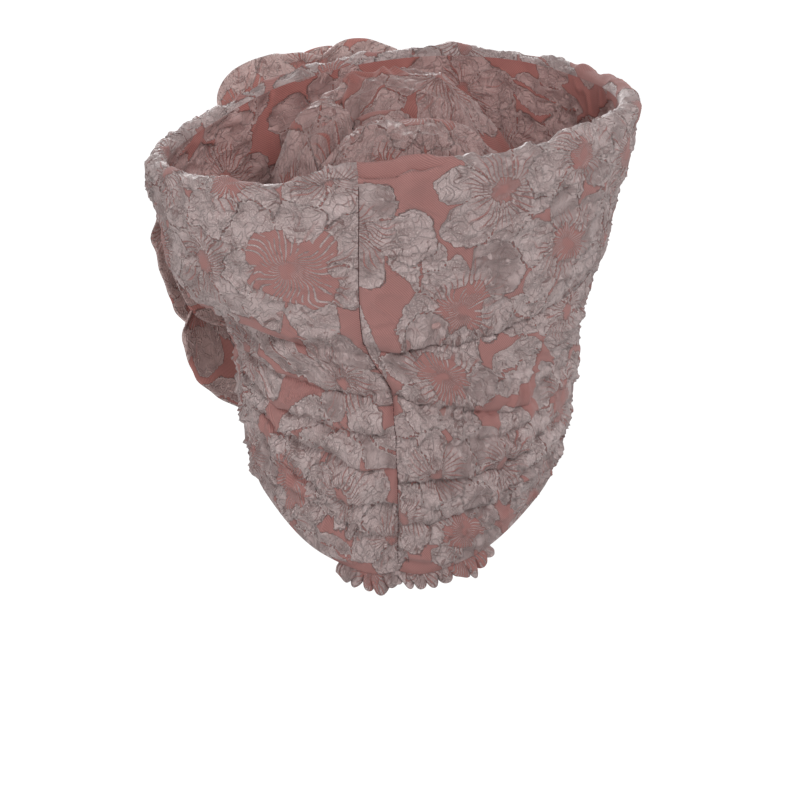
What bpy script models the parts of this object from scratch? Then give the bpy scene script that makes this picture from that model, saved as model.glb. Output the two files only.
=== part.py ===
"""A ready-made turban cap in crinkled floral brocade.

A padded ring flares up and out from the head, open at the top, with a rolled rim. Inside it the
crown cloth is puffed into three soft mounds. Below the ring the same cloth is fitted to the head and
is gathered into the centre-back seam, down to a scrunched elastic frill at the nape. A large
flower of layered cloth petals is sewn to the front of the ring, on the wearer's left.

Metres, +Z up. The wearer faces -Y and the wearer's left is +X. The origin is the point that the
top of the wearer's head comes to.
"""

import math

import bmesh
import bpy
from mathutils import Matrix, Vector



def table(columns, *rows):
    """Rows of values under named columns."""
    return tuple(dict(zip(columns, row)) for row in rows)


# Head part: how far the cloth stands from the origin's upright axis at the foot of the ring
HEAD_BACK = 0.100
HEAD_SIDE = 0.092
HEAD_FRONT = 0.101

# Heights of the lower edge, of the foot of the ring and of the rim
HEM_LOW = -0.164
HEM_HIGH = -0.062
FOOT_BACK = -0.041
FOOT_SIDE = -0.036
FOOT_FRONT = -0.046
RIM_LOW = 0.036
RIM_HIGH = 0.080

# Ring: how far its outer face stands out at the rim
RING_BACK = 0.125
RING_LEFT = 0.132
RING_RIGHT = 0.119
RING_FRONT = 0.126

# Cloth and padding
HEAD_CLOTH = 0.0025
RING_PAD = 0.0055
RIM_PAD = 0.0105
PAD_START = 0.25
CROWN_CLOTH = 0.0020
PETAL_CLOTH = 0.0020
SEWN_GAP = 0.0003

# Centre-back seam
SEAM_GROOVE = 0.0035
SEAM_WIDTH = 0.007
RING_SEAM = 0.0010
PINCH_DEPTH = 0.006
PINCH_WIDTH = 0.015
GATHER_DEPTH = 0.0065

# Heights on the wall's own scale: 0 at the hem, 1 at the ring's foot, 2 at the rim
PINCH_HEIGHT = 0.82
PINCH_SPREAD = 0.11
SEAM_FADE_END = 1.05
SEAM_FADE = 0.10
CROWN_HEIGHT = 1.22
CROWN_FOOT = 1.12
FLOWER_HEIGHT = 1.36

# How a gather starts at the seam, as a share of its depth, and how fast it deepens
GATHER_START = 0.35
GATHER_GROWTH = 6

# Crown
CROWN_FLOOR = 0.004
CROWN_PEAK = 0.080
CROWN_SPAN = 0.080
MOUND_FULLNESS = 2.8
CREASE_SHARPNESS = 6
STEEPEST = 2.0

# Nape frill
FRILL_DROP = 0.011
FRILL_CLOTH = 0.0024
FRILL_WAVE = 0.0026
FRILL_WAVES = 8
FRILL_END_DROP = 0.45
FRILL_END_RUN = 0.12
FRILL_FROM = math.radians(-37)
FRILL_TO = math.radians(23)

# Flower
FLOWER_TURN = math.radians(156)
FLOWER_REACH = 0.101
BUD_RADIUS = 0.017
BUD_STEM = 0.023
BUD_RISE = 0.018
BUD_CURL = 0.0032
BUD_TWIST = 9
FLOWER_STEP = 0.0042
PETAL_OVERLAP = 0.0036
FLOWER_BEND = 0.240
PETAL_ROOT = 0.55
PETAL_CORNER = 0.20
PETAL_CLOSING = math.radians(118)
PLEATS = 12
PLEAT_DEPTH = 0.0012

# How finely the faceted solids are cut
RING_SIDES = 60
HEAD_ROWS = 16
MOUND_ROWS = 8
FRILL_STEPS = 48
BUD_SIDES = 16
PETAL_ACROSS = 6
PETAL_ALONG = 5

# Heights round the cap, at turns in degrees from the centre back towards the wearer's left. hem is
# the share of the way from HEM_LOW to HEM_HIGH, and rim of the way from RIM_LOW to RIM_HIGH.
EDGE_LEVELS = table(
    ("turn", "hem", "rim"),
    (0, 0.00, 0.22),
    (30, 0.10, 0.02),
    (60, 0.32, 0.01),
    (90, 0.46, 0.05),
    (120, 0.68, 0.26),
    (150, 0.91, 0.69),
    (180, 1.00, 0.95),
    (210, 0.91, 0.98),
    (240, 0.68, 0.84),
    (270, 0.46, 0.72),
    (300, 0.30, 0.61),
    (330, 0.09, 0.41),
)

# Sections of the head part, from the hem at height 0 to the ring's foot at height 1.
# back, side and front are shares of HEAD_BACK, HEAD_SIDE and HEAD_FRONT, shift of HEAD_SIDE.
HEAD_SECTIONS = table(
    ("height", "back", "side", "front", "shift"),
    (0.0, 0.66, 0.845, 0.965, 0.045),
    (0.2, 0.81, 0.900, 0.972, 0.010),
    (0.4, 0.92, 0.935, 0.980, -0.025),
    (0.6, 0.98, 0.950, 0.986, -0.030),
    (0.8, 1.00, 0.965, 0.993, -0.020),
    (1.0, 1.01, 0.990, 1.000, 0.000),
)

# Sections of the ring, from its foot at height 1 to the rim at height 2. Each number is the share
# of the way from the head part's size to the ring's size.
RING_SECTIONS = table(
    ("height", "back", "left", "right", "front"),
    (1.00, 0.04, 0.06, 0.02, 0.00),
    (1.14, 0.20, 0.52, 0.14, 0.14),
    (1.32, 0.36, 0.74, 0.43, 0.31),
    (1.55, 0.57, 0.82, 0.63, 0.54),
    (1.78, 0.80, 0.97, 0.89, 0.78),
    (2.00, 1.00, 1.00, 1.00, 1.00),
)

# The seam's sideways place, as shares of HEAD_SIDE, at each height.
SEAM_LINE = table(
    ("height", "aside"),
    (0.00, 0.040),
    (0.45, 0.050),
    (0.82, 0.095),
    (1.00, 0.225),
    (2.00, 0.245),
)

# Gathers, each a valley that starts at the seam. at_seam, halfway and at_end are heights on the
# scale above, depth is a share of GATHER_DEPTH, width a height, and reach a turn in degrees.
GATHERS = table(
    ("side", "at_seam", "halfway", "at_end", "depth", "width", "reach"),
    ("right", 0.99, 1.08, 1.20, 1.00, 0.065, 96),
    ("right", 0.81, 0.67, 0.80, 0.95, 0.060, 88),
    ("right", 0.61, 0.56, 0.68, 0.70, 0.055, 84),
    ("right", 0.43, 0.41, 0.52, 0.95, 0.055, 80),
    ("right", 0.23, 0.25, 0.36, 0.75, 0.050, 66),
    ("left", 0.96, 1.00, 1.04, 0.55, 0.070, 92),
    ("left", 0.80, 0.80, 0.86, 0.85, 0.055, 80),
    ("left", 0.64, 0.62, 0.68, 0.95, 0.055, 84),
    ("left", 0.48, 0.49, 0.55, 0.95, 0.050, 80),
    ("left", 0.31, 0.30, 0.42, 0.80, 0.050, 72),
    ("left", 0.15, 0.19, 0.28, 0.60, 0.045, 60),
)

# Mounds of the crown. aside, behind, wide and deep are shares of CROWN_SPAN, and peak of CROWN_PEAK.
CROWN_MOUNDS = table(
    ("name", "aside", "behind", "wide", "deep", "peak", "turned"),
    ("far", 0.03, -0.36, 0.87, 0.62, 1.00, 0),
    ("left_roll", 0.52, 0.06, 0.36, 0.46, 0.86, -12),
    ("middle_roll", 0.12, 0.08, 0.44, 0.28, 0.80, 8),
    ("near", -0.06, 0.50, 0.80, 0.46, 0.80, 6),
)

# Petals of the flower. round is the turn of its middle in degrees from straight up towards the
# wearer's left, spread its width as a turn, reach a share of FLOWER_REACH. seat and lift are
# in FLOWER_STEP: how far out the root sits, and how much further out the tip stands.
PETALS = table(
    ("name", "round", "spread", "reach", "seat", "lift"),
    ("outer_petal_1", 8, 72, 0.89, 1.3, 2.0),
    ("outer_petal_2", 62, 66, 0.82, 1.3, 2.0),
    ("outer_petal_3", 112, 62, 0.87, 1.3, 2.0),
    ("outer_petal_4", 157, 70, 1.12, 1.3, 2.0),
    ("outer_petal_5", 214, 70, 0.98, 1.3, 2.0),
    ("outer_petal_6", 268, 70, 0.98, 1.3, 2.0),
    ("outer_petal_7", 319, 68, 1.05, 1.3, 2.0),
    ("middle_petal_1", 40, 84, 0.76, 2.8, 4.2),
    ("middle_petal_2", 116, 84, 0.90, 2.8, 4.2),
    ("middle_petal_3", 184, 84, 0.80, 2.8, 4.2),
    ("middle_petal_4", 256, 84, 0.80, 2.8, 4.2),
    ("middle_petal_5", 322, 84, 0.980, 2.8, 4.2),
    ("inner_petal_1", 20, 104, 0.50, 4.4, 6.0),
    ("inner_petal_2", 110, 104, 0.52, 4.4, 6.0),
    ("inner_petal_3", 200, 104, 0.50, 4.4, 6.0),
    ("inner_petal_4", 290, 104, 0.52, 4.4, 6.0),
)


def smooth_step(points, spot, share):
    """The value a share of the way from one of four neighbouring points, the second, to the third.

    points holds four pairs of place and value, and the curve keeps its slope from run to run.
    """
    (place0, value0), (place1, value1), (place2, value2), (place3, value3) = points[spot : spot + 4]
    run = place2 - place1
    slope1 = (value2 - value0) / (place2 - place0) * run
    slope2 = (value3 - value1) / (place3 - place1) * run
    return (
        (2 * share**3 - 3 * share**2 + 1) * value1
        + (share**3 - 2 * share**2 + share) * slope1
        + (3 * share**2 - 2 * share**3) * value2
        + (share**3 - share**2) * slope2
    )


def read(rows, height, column):
    """A table's column at a height, on a smooth curve through its rows."""
    points = [(row["height"], row[column]) for row in rows]
    height = min(max(height, points[0][0]), points[-1][0])
    points = [(points[0][0] - 1e-6, points[0][1]), *points, (points[-1][0] + 1e-6, points[-1][1])]
    spot = next(i for i in range(len(points) - 3) if height <= points[i + 2][0])
    share = (height - points[spot + 1][0]) / (points[spot + 2][0] - points[spot + 1][0])
    return smooth_step(points, spot, share)


def read_round(rows, turn, column):
    """A table's column at a turn, on a smooth closed curve through its rows."""
    degrees = math.degrees(turn) % 360
    points = [(row["turn"], row[column]) for row in rows]
    first, second, last = points[0], points[1], points[-1]
    points = [(last[0] - 360, last[1]), *points, (first[0] + 360, first[1]), (second[0] + 360, second[1])]
    spot = next(i for i in range(len(points) - 3) if degrees <= points[i + 2][0])
    share = (degrees - points[spot + 1][0]) / (points[spot + 2][0] - points[spot + 1][0])
    return smooth_step(points, spot, share)


def level_of(turn, height):
    """The Z of a height on the wall: 0 is the hem, 1 the ring's foot and 2 the rim."""
    along = math.cos(turn)
    foot = FOOT_SIDE + ((FOOT_BACK - FOOT_SIDE) if along > 0 else (FOOT_FRONT - FOOT_SIDE)) * along**2
    if height <= 1:
        hem = HEM_LOW + (HEM_HIGH - HEM_LOW) * read_round(EDGE_LEVELS, turn, "hem")
        return hem + (foot - hem) * height
    rim = RIM_LOW + (RIM_HIGH - RIM_LOW) * read_round(EDGE_LEVELS, turn, "rim")
    return foot + (rim - foot) * (height - 1)


def reaches(height):
    """How far the wall stands out to the back, left, right and front at a height, and its shift."""
    if height <= 1:
        back = HEAD_BACK * read(HEAD_SECTIONS, height, "back")
        side = HEAD_SIDE * read(HEAD_SECTIONS, height, "side")
        front = HEAD_FRONT * read(HEAD_SECTIONS, height, "front")
        shift = HEAD_SIDE * read(HEAD_SECTIONS, height, "shift")
        join = max(0.0, (height - 0.8) / 0.2) ** 2
        left = side + (RING_LEFT - HEAD_SIDE) * RING_SECTIONS[0]["left"] * join
        right = side + (RING_RIGHT - HEAD_SIDE) * RING_SECTIONS[0]["right"] * join
        return back, left, right, front, shift
    foot = HEAD_SECTIONS[-1]
    parts = []
    for column, base, full in (
        ("back", HEAD_BACK * foot["back"], RING_BACK),
        ("left", HEAD_SIDE * foot["side"], RING_LEFT),
        ("right", HEAD_SIDE * foot["side"], RING_RIGHT),
        ("front", HEAD_FRONT * foot["front"], RING_FRONT),
    ):
        share = read(RING_SECTIONS, height, column)
        start = RING_SECTIONS[0][column] if column in ("back", "front") else 0.0
        parts.append(base + (full - base) * (share - start) / (1 - start))
    return (*parts, HEAD_SIDE * foot["shift"])


def plain_point(turn, height):
    """The wall's outer face without seam and gathers. Turn 0 is the back, a quarter turn the left."""
    back, left, right, front, shift = reaches(height)
    across, along = math.sin(turn), math.cos(turn)
    x = (left if across > 0 else right) * across + shift * max(0.0, along)
    y = (back if along > 0 else front) * along
    return Vector((x, y, level_of(turn, height)))


def normal_of(surface, turn, height):
    """The outward normal of a surface of turn and height."""
    small_turn, small_height = 0.01, 0.01
    low, high = max(height - small_height, 0.0), min(height + small_height, 2.0)
    around = surface(turn + small_turn, height) - surface(turn - small_turn, height)
    up = surface(turn, high) - surface(turn, low)
    return up.cross(around).normalized()


def seam_turn(height):
    """The turn at which the centre-back seam stands at a height."""
    aside = HEAD_SIDE * read(SEAM_LINE, height, "aside") - reaches(height)[4]
    return math.asin(aside / reaches(height)[1])


def bump(distance):
    """1 in the middle, falling smoothly to 0 about two widths away."""
    return math.exp(-(distance**2))


def gather_depth(turn, height):
    """How far the seam and the gathers draw the cloth in."""
    from_seam = turn - seam_turn(height)
    across = from_seam * reaches(height)[0]
    on_head = max(0.0, min(1.0, (SEAM_FADE_END - height) / SEAM_FADE))
    groove = RING_SEAM + (SEAM_GROOVE - RING_SEAM) * on_head
    depth = groove * bump(across / SEAM_WIDTH)
    pinch = bump((height - PINCH_HEIGHT) / PINCH_SPREAD) * bump(across / PINCH_WIDTH)
    depth += PINCH_DEPTH * pinch
    for row in GATHERS:
        away = from_seam if row["side"] == "left" else -from_seam
        share = away / math.radians(row["reach"])
        if not 0 <= share < 1:
            continue
        near, far = row["halfway"] - row["at_seam"], row["at_end"] - row["halfway"]
        middle = row["at_seam"] + near * min(2 * share, 1) + far * max(2 * share - 1, 0)
        fade = min(1.0, GATHER_START + GATHER_GROWTH * share) * (1 - share**2)
        depth += GATHER_DEPTH * row["depth"] * fade * bump((height - middle) / row["width"])
    return depth


def outer_point(turn, height):
    """The wall's outer face."""
    return plain_point(turn, height) - normal_of(plain_point, turn, height) * gather_depth(turn, height)


def wall_at(height):
    """The wall's thickness: cloth on the head part, cloth over padding on the ring."""
    if height <= 1:
        return HEAD_CLOTH
    up = height - 1
    return HEAD_CLOTH + (RING_PAD - HEAD_CLOTH) * min(1.0, up / PAD_START) + (RIM_PAD - RING_PAD) * up**6


def inner_point(turn, height):
    """The wall's inner face."""
    normal = normal_of(plain_point, turn, height)
    drawn = gather_depth(turn, height)
    return plain_point(turn, height) - normal * (drawn + wall_at(height))


def rim_point(turn, swing):
    """The rolled rim: swing 0 is its outer side, and half a turn its inner side."""
    outer, inner = outer_point(turn, 2.0), inner_point(turn, 2.0)
    middle, radius = (outer + inner) / 2, (outer - inner).length / 2
    out = (outer - inner).normalized()
    along = outer_point(turn + 0.01, 2.0) - outer_point(turn - 0.01, 2.0)
    up = along.cross(out).normalized()
    up = up if up.z > 0 else -up
    return middle + out * radius * math.cos(swing) + up * radius * math.sin(swing)


def clear_scene():
    """Removes what the scene holds."""
    for obj in list(bpy.data.objects):
        bpy.data.objects.remove(obj, do_unlink=True)


def cloth_material(name, colour, roughness):
    """A matt cloth of one colour."""
    material = bpy.data.materials.new(name)
    material.use_nodes = True
    shader = material.node_tree.nodes["Principled BSDF"]
    shader.inputs["Base Color"].default_value = (*colour, 1.0)
    shader.inputs["Roughness"].default_value = roughness
    shader.inputs["Metallic"].default_value = 0.0
    return material


def spun_mesh(rows, sides, closed):
    """A profile of numbered rows spun about Z: each vertex's z is its row and its angle its turn.

    A closed profile gives a ring-shaped skin; an open one starts and ends on the axis.
    """
    mesh = bmesh.new()
    ends_on_axis = not closed
    verts = []
    for row in range(rows):
        at_axis = ends_on_axis and row in (0, rows - 1)
        verts.append(mesh.verts.new((0.0, 0.0 if at_axis else 1.0, row)))
    edges = [mesh.edges.new(pair) for pair in zip(verts, verts[1:])]
    if closed:
        edges.append(mesh.edges.new((verts[-1], verts[0])))
    bmesh.ops.spin(
        mesh, geom=verts + edges, cent=(0, 0, 0), axis=(0, 0, 1), angle=2 * math.pi, steps=sides,
        use_merge=True,
    )
    bmesh.ops.remove_doubles(mesh, verts=mesh.verts, dist=1e-4)
    return mesh


def finish_object(mesh, name, material):
    """Makes an object of a closed mesh, with its faces out and its round parts smooth."""
    bmesh.ops.recalc_face_normals(mesh, faces=mesh.faces)
    if mesh.calc_volume(signed=True) < 0:
        bmesh.ops.reverse_faces(mesh, faces=mesh.faces)
    data = bpy.data.meshes.new(name)
    mesh.to_mesh(data)
    mesh.free()
    data.materials.append(material)
    data.shade_smooth()
    obj = bpy.data.objects.new(name, data)
    bpy.context.scene.collection.objects.link(obj)
    return obj


def turn_of(vert):
    """The turn of a spun vertex, from the back towards the wearer's left."""
    return math.atan2(vert.co.x, vert.co.y)


def build_wrap(material):
    """The outer cloth, in one piece: the gathered head part and the padded ring with its rolled rim."""
    head_rows = [i / HEAD_ROWS for i in range(HEAD_ROWS + 1)]
    ring_rows = [1.05, 1.12, 1.22, 1.40, 1.60, 1.80, 1.94]
    ring_inner_rows = [1.90, 1.66, 1.42, CROWN_HEIGHT, CROWN_FOOT]
    rim_swings = [math.pi * quarter / 4 for quarter in range(5)]
    places = [("outer", height) for height in head_rows + ring_rows]
    places += [("rim", swing) for swing in rim_swings]
    places += [("inner", height) for height in ring_inner_rows + head_rows[::-1]]
    makers = {"outer": outer_point, "rim": rim_point, "inner": inner_point}
    mesh = spun_mesh(len(places), RING_SIDES, closed=True)
    for vert in mesh.verts:
        face, value = places[round(vert.co.z)]
        vert.co = makers[face](turn_of(vert), value)
    return finish_object(mesh, "wrap_shell", material)


def mound_lift(x, y, floor):
    """How far the crown cloth stands above its floor: the mounds, run together at their creases."""
    together = 0.0
    for row in CROWN_MOUNDS:
        angle = math.radians(row["turned"])
        across, behind = x - CROWN_SPAN * row["aside"], y - CROWN_SPAN * row["behind"]
        along = across * math.cos(angle) + behind * math.sin(angle)
        athwart = behind * math.cos(angle) - across * math.sin(angle)
        away = math.hypot(along / (CROWN_SPAN * row["wide"]), athwart / (CROWN_SPAN * row["deep"]))
        if away < 1:
            rise = 1 - away**MOUND_FULLNESS
            together += ((CROWN_PEAK * row["peak"] - floor) * rise) ** CREASE_SHARPNESS
    return together ** (1 / CREASE_SHARPNESS)


def crown_edge(turn, lowered):
    """The crown's sewn edge on the ring's inner face, or, lowered, the edge of its under face."""
    upper = inner_point(turn, CROWN_HEIGHT) - normal_of(plain_point, turn, CROWN_HEIGHT) * SEWN_GAP
    if not lowered:
        return upper
    lower = inner_point(turn, CROWN_FOOT) - normal_of(plain_point, turn, CROWN_FOOT) * SEWN_GAP
    return upper.lerp(lower, CROWN_CLOTH / (upper.z - lower.z))


def mounds_end(turn):
    """The share of the way from the middle to the sewn edge at which the mounds end."""
    edge = crown_edge(turn, False)
    hundredths = range(100, 0, -1)
    inside = (i for i in hundredths if mound_lift(edge.x * i / 100, edge.y * i / 100, 0.0) > 0)
    return next(inside, 50) / 100


def crown_point(turn, share, under):
    """The crown's upper or under face, from the middle at share 0 to its sewn edge at share 1."""
    edge = crown_edge(turn, False)
    if share == 1.0:
        return crown_edge(turn, under)
    x, y = edge.x * share, edge.y * share
    floor = CROWN_FLOOR + (edge.z - CROWN_FLOOR) * share**2
    level = floor + mound_lift(x, y, floor)
    if not under:
        return Vector((x, y, level))
    step = CROWN_CLOTH
    slope_x = (mound_lift(x + step, y, floor) - mound_lift(x - step, y, floor)) / (2 * step)
    slope_y = (mound_lift(x, y + step, floor) - mound_lift(x, y - step, floor)) / (2 * step)
    steepness = math.hypot(1.0, min(math.hypot(slope_x, slope_y), STEEPEST))
    return Vector((x, y, level - CROWN_CLOTH * steepness))


def build_crown(material):
    """The crown cloth, puffed into mounds inside the ring and sewn to the ring's inner face.

    Rows 0 to 1 run from the middle to the foot of the mounds, and rows 1 to 2 on to the sewn edge.
    """
    mound_rows = [math.sin(math.pi / 2 * i / MOUND_ROWS) for i in range(MOUND_ROWS + 1)]
    rows = mound_rows + [1.5, 2.0]
    places = [(row, False) for row in rows] + [(row, True) for row in reversed(rows)]
    mesh = spun_mesh(len(places), RING_SIDES, closed=False)
    ends = {}
    for vert in mesh.verts:
        row, under = places[round(vert.co.z)]
        turn = turn_of(vert)
        key = round(math.degrees(turn))
        if key not in ends:
            ends[key] = mounds_end(turn)
        end = ends[key]
        share = end * row if row <= 1 else end + (1 - end) * (row - 1)
        vert.co = crown_point(turn, share, under)
    return finish_object(mesh, "crown_puff", material)


def frill_point(share, drop, side):
    """The frill's cloth: share runs along the nape, drop from the hem down, side -1 in and 1 out."""
    turn = FRILL_FROM + (FRILL_TO - FRILL_FROM) * share
    hem = outer_point(turn, 0.0)
    out = normal_of(plain_point, turn, 0.0)
    out = Vector((out.x, out.y, 0.0)).normalized()
    wave = FRILL_WAVE * math.sin(2 * math.pi * FRILL_WAVES * share) * drop
    ends = min(1.0, share / FRILL_END_RUN, (1 - share) / FRILL_END_RUN)
    offset = wave + (side * FRILL_CLOTH - HEAD_CLOTH) / 2
    down = SEWN_GAP + FRILL_DROP * drop * (FRILL_END_DROP + (1 - FRILL_END_DROP) * ends)
    return hem + out * offset - Vector((0.0, 0.0, down))


def build_frill(material):
    """The scrunched elastic frill that hangs below the hem at the nape."""
    mesh = bmesh.new()
    drops = (0.0, 0.5, 1.0)
    section = [(drop, 1) for drop in drops] + [(drop, -1) for drop in reversed(drops)]
    loops = []
    for step in range(FRILL_STEPS + 1):
        loops.append([mesh.verts.new(frill_point(step / FRILL_STEPS, *place)) for place in section])
    for first, second in zip(loops, loops[1:]):
        for i in range(len(section)):
            j = (i + 1) % len(section)
            mesh.faces.new((first[i], first[j], second[j], second[i]))
    for loop in (loops[0], loops[-1]):
        for i in range(len(drops) - 1):
            mesh.faces.new((loop[i], loop[i + 1], loop[-2 - i], loop[-1 - i]))
    return finish_object(mesh, "nape_frill", material)


def flower_frame():
    """The flower's own frame: its Z points away from the ring's wall, its Y up along the wall."""
    out = normal_of(plain_point, FLOWER_TURN, FLOWER_HEIGHT)
    across = Vector((0.0, 0.0, 1.0)).cross(out).normalized()
    up = out.cross(across)
    base = outer_point(FLOWER_TURN, FLOWER_HEIGHT)
    frame = Matrix((across, up, out)).transposed().to_4x4()
    frame.translation = base
    return frame


def petal_point(row, across, along):
    """A petal's middle surface in the flower's frame. across is -1 to 1, along 0 at the root."""
    reach = FLOWER_REACH * row["reach"]
    rise = FLOWER_STEP * row["lift"] * math.pi / 2 / FLOWER_REACH
    root = BUD_RADIUS + SEWN_GAP + PETAL_CLOTH / 2 * rise / math.hypot(1.0, rise)
    half = math.radians(row["spread"]) / 2
    squared = 1 - PETAL_CORNER * abs(across) ** 4
    radius = root + (reach * squared - root) * along
    narrow = PETAL_ROOT + (1 - PETAL_ROOT) * math.sin(along * PETAL_CLOSING)
    angle = math.radians(row["round"]) + across * half * narrow
    tuck = -PETAL_OVERLAP * across * narrow * half
    outward = (radius - root) / FLOWER_REACH
    cup = math.sin(min(1.0, outward) * math.pi / 2) * row["lift"]
    pleat = PLEAT_DEPTH * math.cos(angle * PLEATS) * outward
    aside = radius * math.sin(angle)
    level = FLOWER_STEP * (row["seat"] + cup) + tuck + pleat - aside**2 / (2 * FLOWER_BEND)
    return Vector((aside, radius * math.cos(angle), level))


def build_petal(row, frame, material):
    """One petal: a sheet of cloth folded double, with its root against the bud."""
    mesh = bmesh.new()
    bmesh.ops.create_grid(mesh, x_segments=PETAL_ACROSS, y_segments=PETAL_ALONG, size=1.0)
    for vert in mesh.verts:
        vert.co = petal_point(row, vert.co.x, (vert.co.y + 1) / 2)
    obj = finish_object(mesh, row["name"], material)
    obj.matrix_world = frame
    wall = obj.modifiers.new("folded_cloth", "SOLIDIFY")
    wall.thickness = PETAL_CLOTH
    wall.offset = 0.0
    return obj


def bud_point(turn, share):
    """The bud's face in the flower's frame, from its back at share 0 to its curled middle at 1."""
    if share <= 0.5:
        level = SEWN_GAP + (BUD_STEM - SEWN_GAP) * share * 2
        return Vector((BUD_RADIUS * math.sin(turn), BUD_RADIUS * math.cos(turn), level))
    inward = (share - 0.5) * 2
    radius = BUD_RADIUS * (1 - inward**3)
    curl = BUD_CURL * math.sin(turn + inward * BUD_TWIST) * inward * min(1.0, (1 - inward) * 3)
    level = BUD_STEM + BUD_RISE * math.sin(inward * math.pi / 2) + curl
    return Vector((radius * math.sin(turn), radius * math.cos(turn), level))


def build_bud(frame, material):
    """The rolled bud in the flower's middle, whose stem carries the petals."""
    shares = [0.0, 0.25, 0.5, 0.6, 0.7, 0.8, 0.88, 0.95, 1.0]
    mesh = spun_mesh(len(shares) + 1, BUD_SIDES, closed=False)
    for vert in mesh.verts:
        row = round(vert.co.z)
        if row == 0:
            vert.co = Vector((0.0, 0.0, SEWN_GAP))
        else:
            vert.co = bud_point(turn_of(vert), shares[row - 1])
    obj = finish_object(mesh, "flower_bud", material)
    obj.matrix_world = frame
    return obj


def main():
    clear_scene()
    brocade = cloth_material("brocade", (0.40, 0.29, 0.28), 0.75)
    build_wrap(brocade)
    build_crown(brocade)
    build_frill(brocade)
    frame = flower_frame()
    build_bud(frame, brocade)
    for row in PETALS:
        build_petal(row, frame, brocade)


main()
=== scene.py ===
"""The looks of a ready-made turban cap in crinkled floral brocade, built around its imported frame.

Metres, +Z up. The wearer faces -Y and the wearer's left is +X. Turns run from the centre back towards
the wearer's left. Heights on the wall run from 0 at the hem through 1 at the ring's foot to 2 at the rim.
The flat cloth is measured across from the centre-back seam and up from the ring's foot.
"""

import logging
import math
from dataclasses import dataclass, field
from enum import Enum

import bpy
import numpy as np
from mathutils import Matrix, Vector


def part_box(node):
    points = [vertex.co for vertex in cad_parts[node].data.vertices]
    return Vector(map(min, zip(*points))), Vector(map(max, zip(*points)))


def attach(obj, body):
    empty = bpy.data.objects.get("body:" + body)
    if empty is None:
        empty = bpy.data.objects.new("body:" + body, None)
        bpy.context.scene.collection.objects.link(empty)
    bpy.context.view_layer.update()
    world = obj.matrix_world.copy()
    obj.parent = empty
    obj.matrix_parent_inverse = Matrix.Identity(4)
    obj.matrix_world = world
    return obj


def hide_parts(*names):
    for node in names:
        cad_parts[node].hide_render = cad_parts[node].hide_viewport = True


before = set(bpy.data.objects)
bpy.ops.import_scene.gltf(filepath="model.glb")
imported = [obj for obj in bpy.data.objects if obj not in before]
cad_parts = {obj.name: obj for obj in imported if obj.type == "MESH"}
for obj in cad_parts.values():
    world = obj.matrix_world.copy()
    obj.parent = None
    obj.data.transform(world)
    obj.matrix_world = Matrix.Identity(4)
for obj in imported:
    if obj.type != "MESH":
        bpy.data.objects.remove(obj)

Array = np.ndarray
Table = dict[str, Array]
Socket = bpy.types.NodeSocket

LOG = logging.getLogger("turban_cap")
MILLIMETRE = 0.001


class Side(Enum):
    """The side of the centre-back seam that a gather runs to."""

    RIGHT = -1
    LEFT = 1


class Motif(Enum):
    """The kinds of motif woven into the brocade."""

    BLOSSOM = "blossom"
    LEAF = "leaf"


def table(columns: tuple[str, ...], *rows: tuple) -> Table:
    """Rows of values under named columns.

    Args:
        columns: The names of the columns.
        rows: One row of values for each section, fold or motif.

    Returns:
        Each column's values under its name.
    """
    return {name: np.array(values) for name, values in zip(columns, zip(*rows))}


# Heights round the cap, at turns in degrees. hem is the share of the way from the lowest hem to the
# highest, and rim of the way from the lowest rim to the highest.
EDGE_LEVELS = table(
    ("turn", "hem", "rim"),
    (0, 0.00, 0.22),
    (30, 0.10, 0.02),
    (60, 0.32, 0.01),
    (90, 0.46, 0.05),
    (120, 0.68, 0.26),
    (150, 0.91, 0.69),
    (180, 1.00, 0.95),
    (210, 0.91, 0.98),
    (240, 0.68, 0.84),
    (270, 0.46, 0.72),
    (300, 0.30, 0.61),
    (330, 0.09, 0.41),
)

# Sections of the head part. back, side and front are shares of the head's sizes, shift of its side.
HEAD_SECTIONS = table(
    ("height", "back", "side", "front", "shift"),
    (0.0, 0.66, 0.845, 0.965, 0.045),
    (0.2, 0.81, 0.900, 0.972, 0.010),
    (0.4, 0.92, 0.935, 0.980, -0.025),
    (0.6, 0.98, 0.950, 0.986, -0.030),
    (0.8, 1.00, 0.965, 0.993, -0.020),
    (1.0, 1.01, 0.990, 1.000, 0.000),
)

# Sections of the ring. Each number is the share of the way from the head's size to the ring's.
RING_SECTIONS = table(
    ("height", "back", "left", "right", "front"),
    (1.00, 0.04, 0.06, 0.02, 0.00),
    (1.14, 0.20, 0.52, 0.14, 0.14),
    (1.32, 0.36, 0.74, 0.43, 0.31),
    (1.55, 0.57, 0.82, 0.63, 0.54),
    (1.78, 0.80, 0.97, 0.89, 0.78),
    (2.00, 1.00, 1.00, 1.00, 1.00),
)

# The seam's sideways place at each height, as shares of the head's side.
SEAM_LINE = table(
    ("height", "aside"),
    (0.00, 0.040),
    (0.45, 0.050),
    (0.82, 0.095),
    (1.00, 0.225),
    (2.00, 0.245),
)

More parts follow.
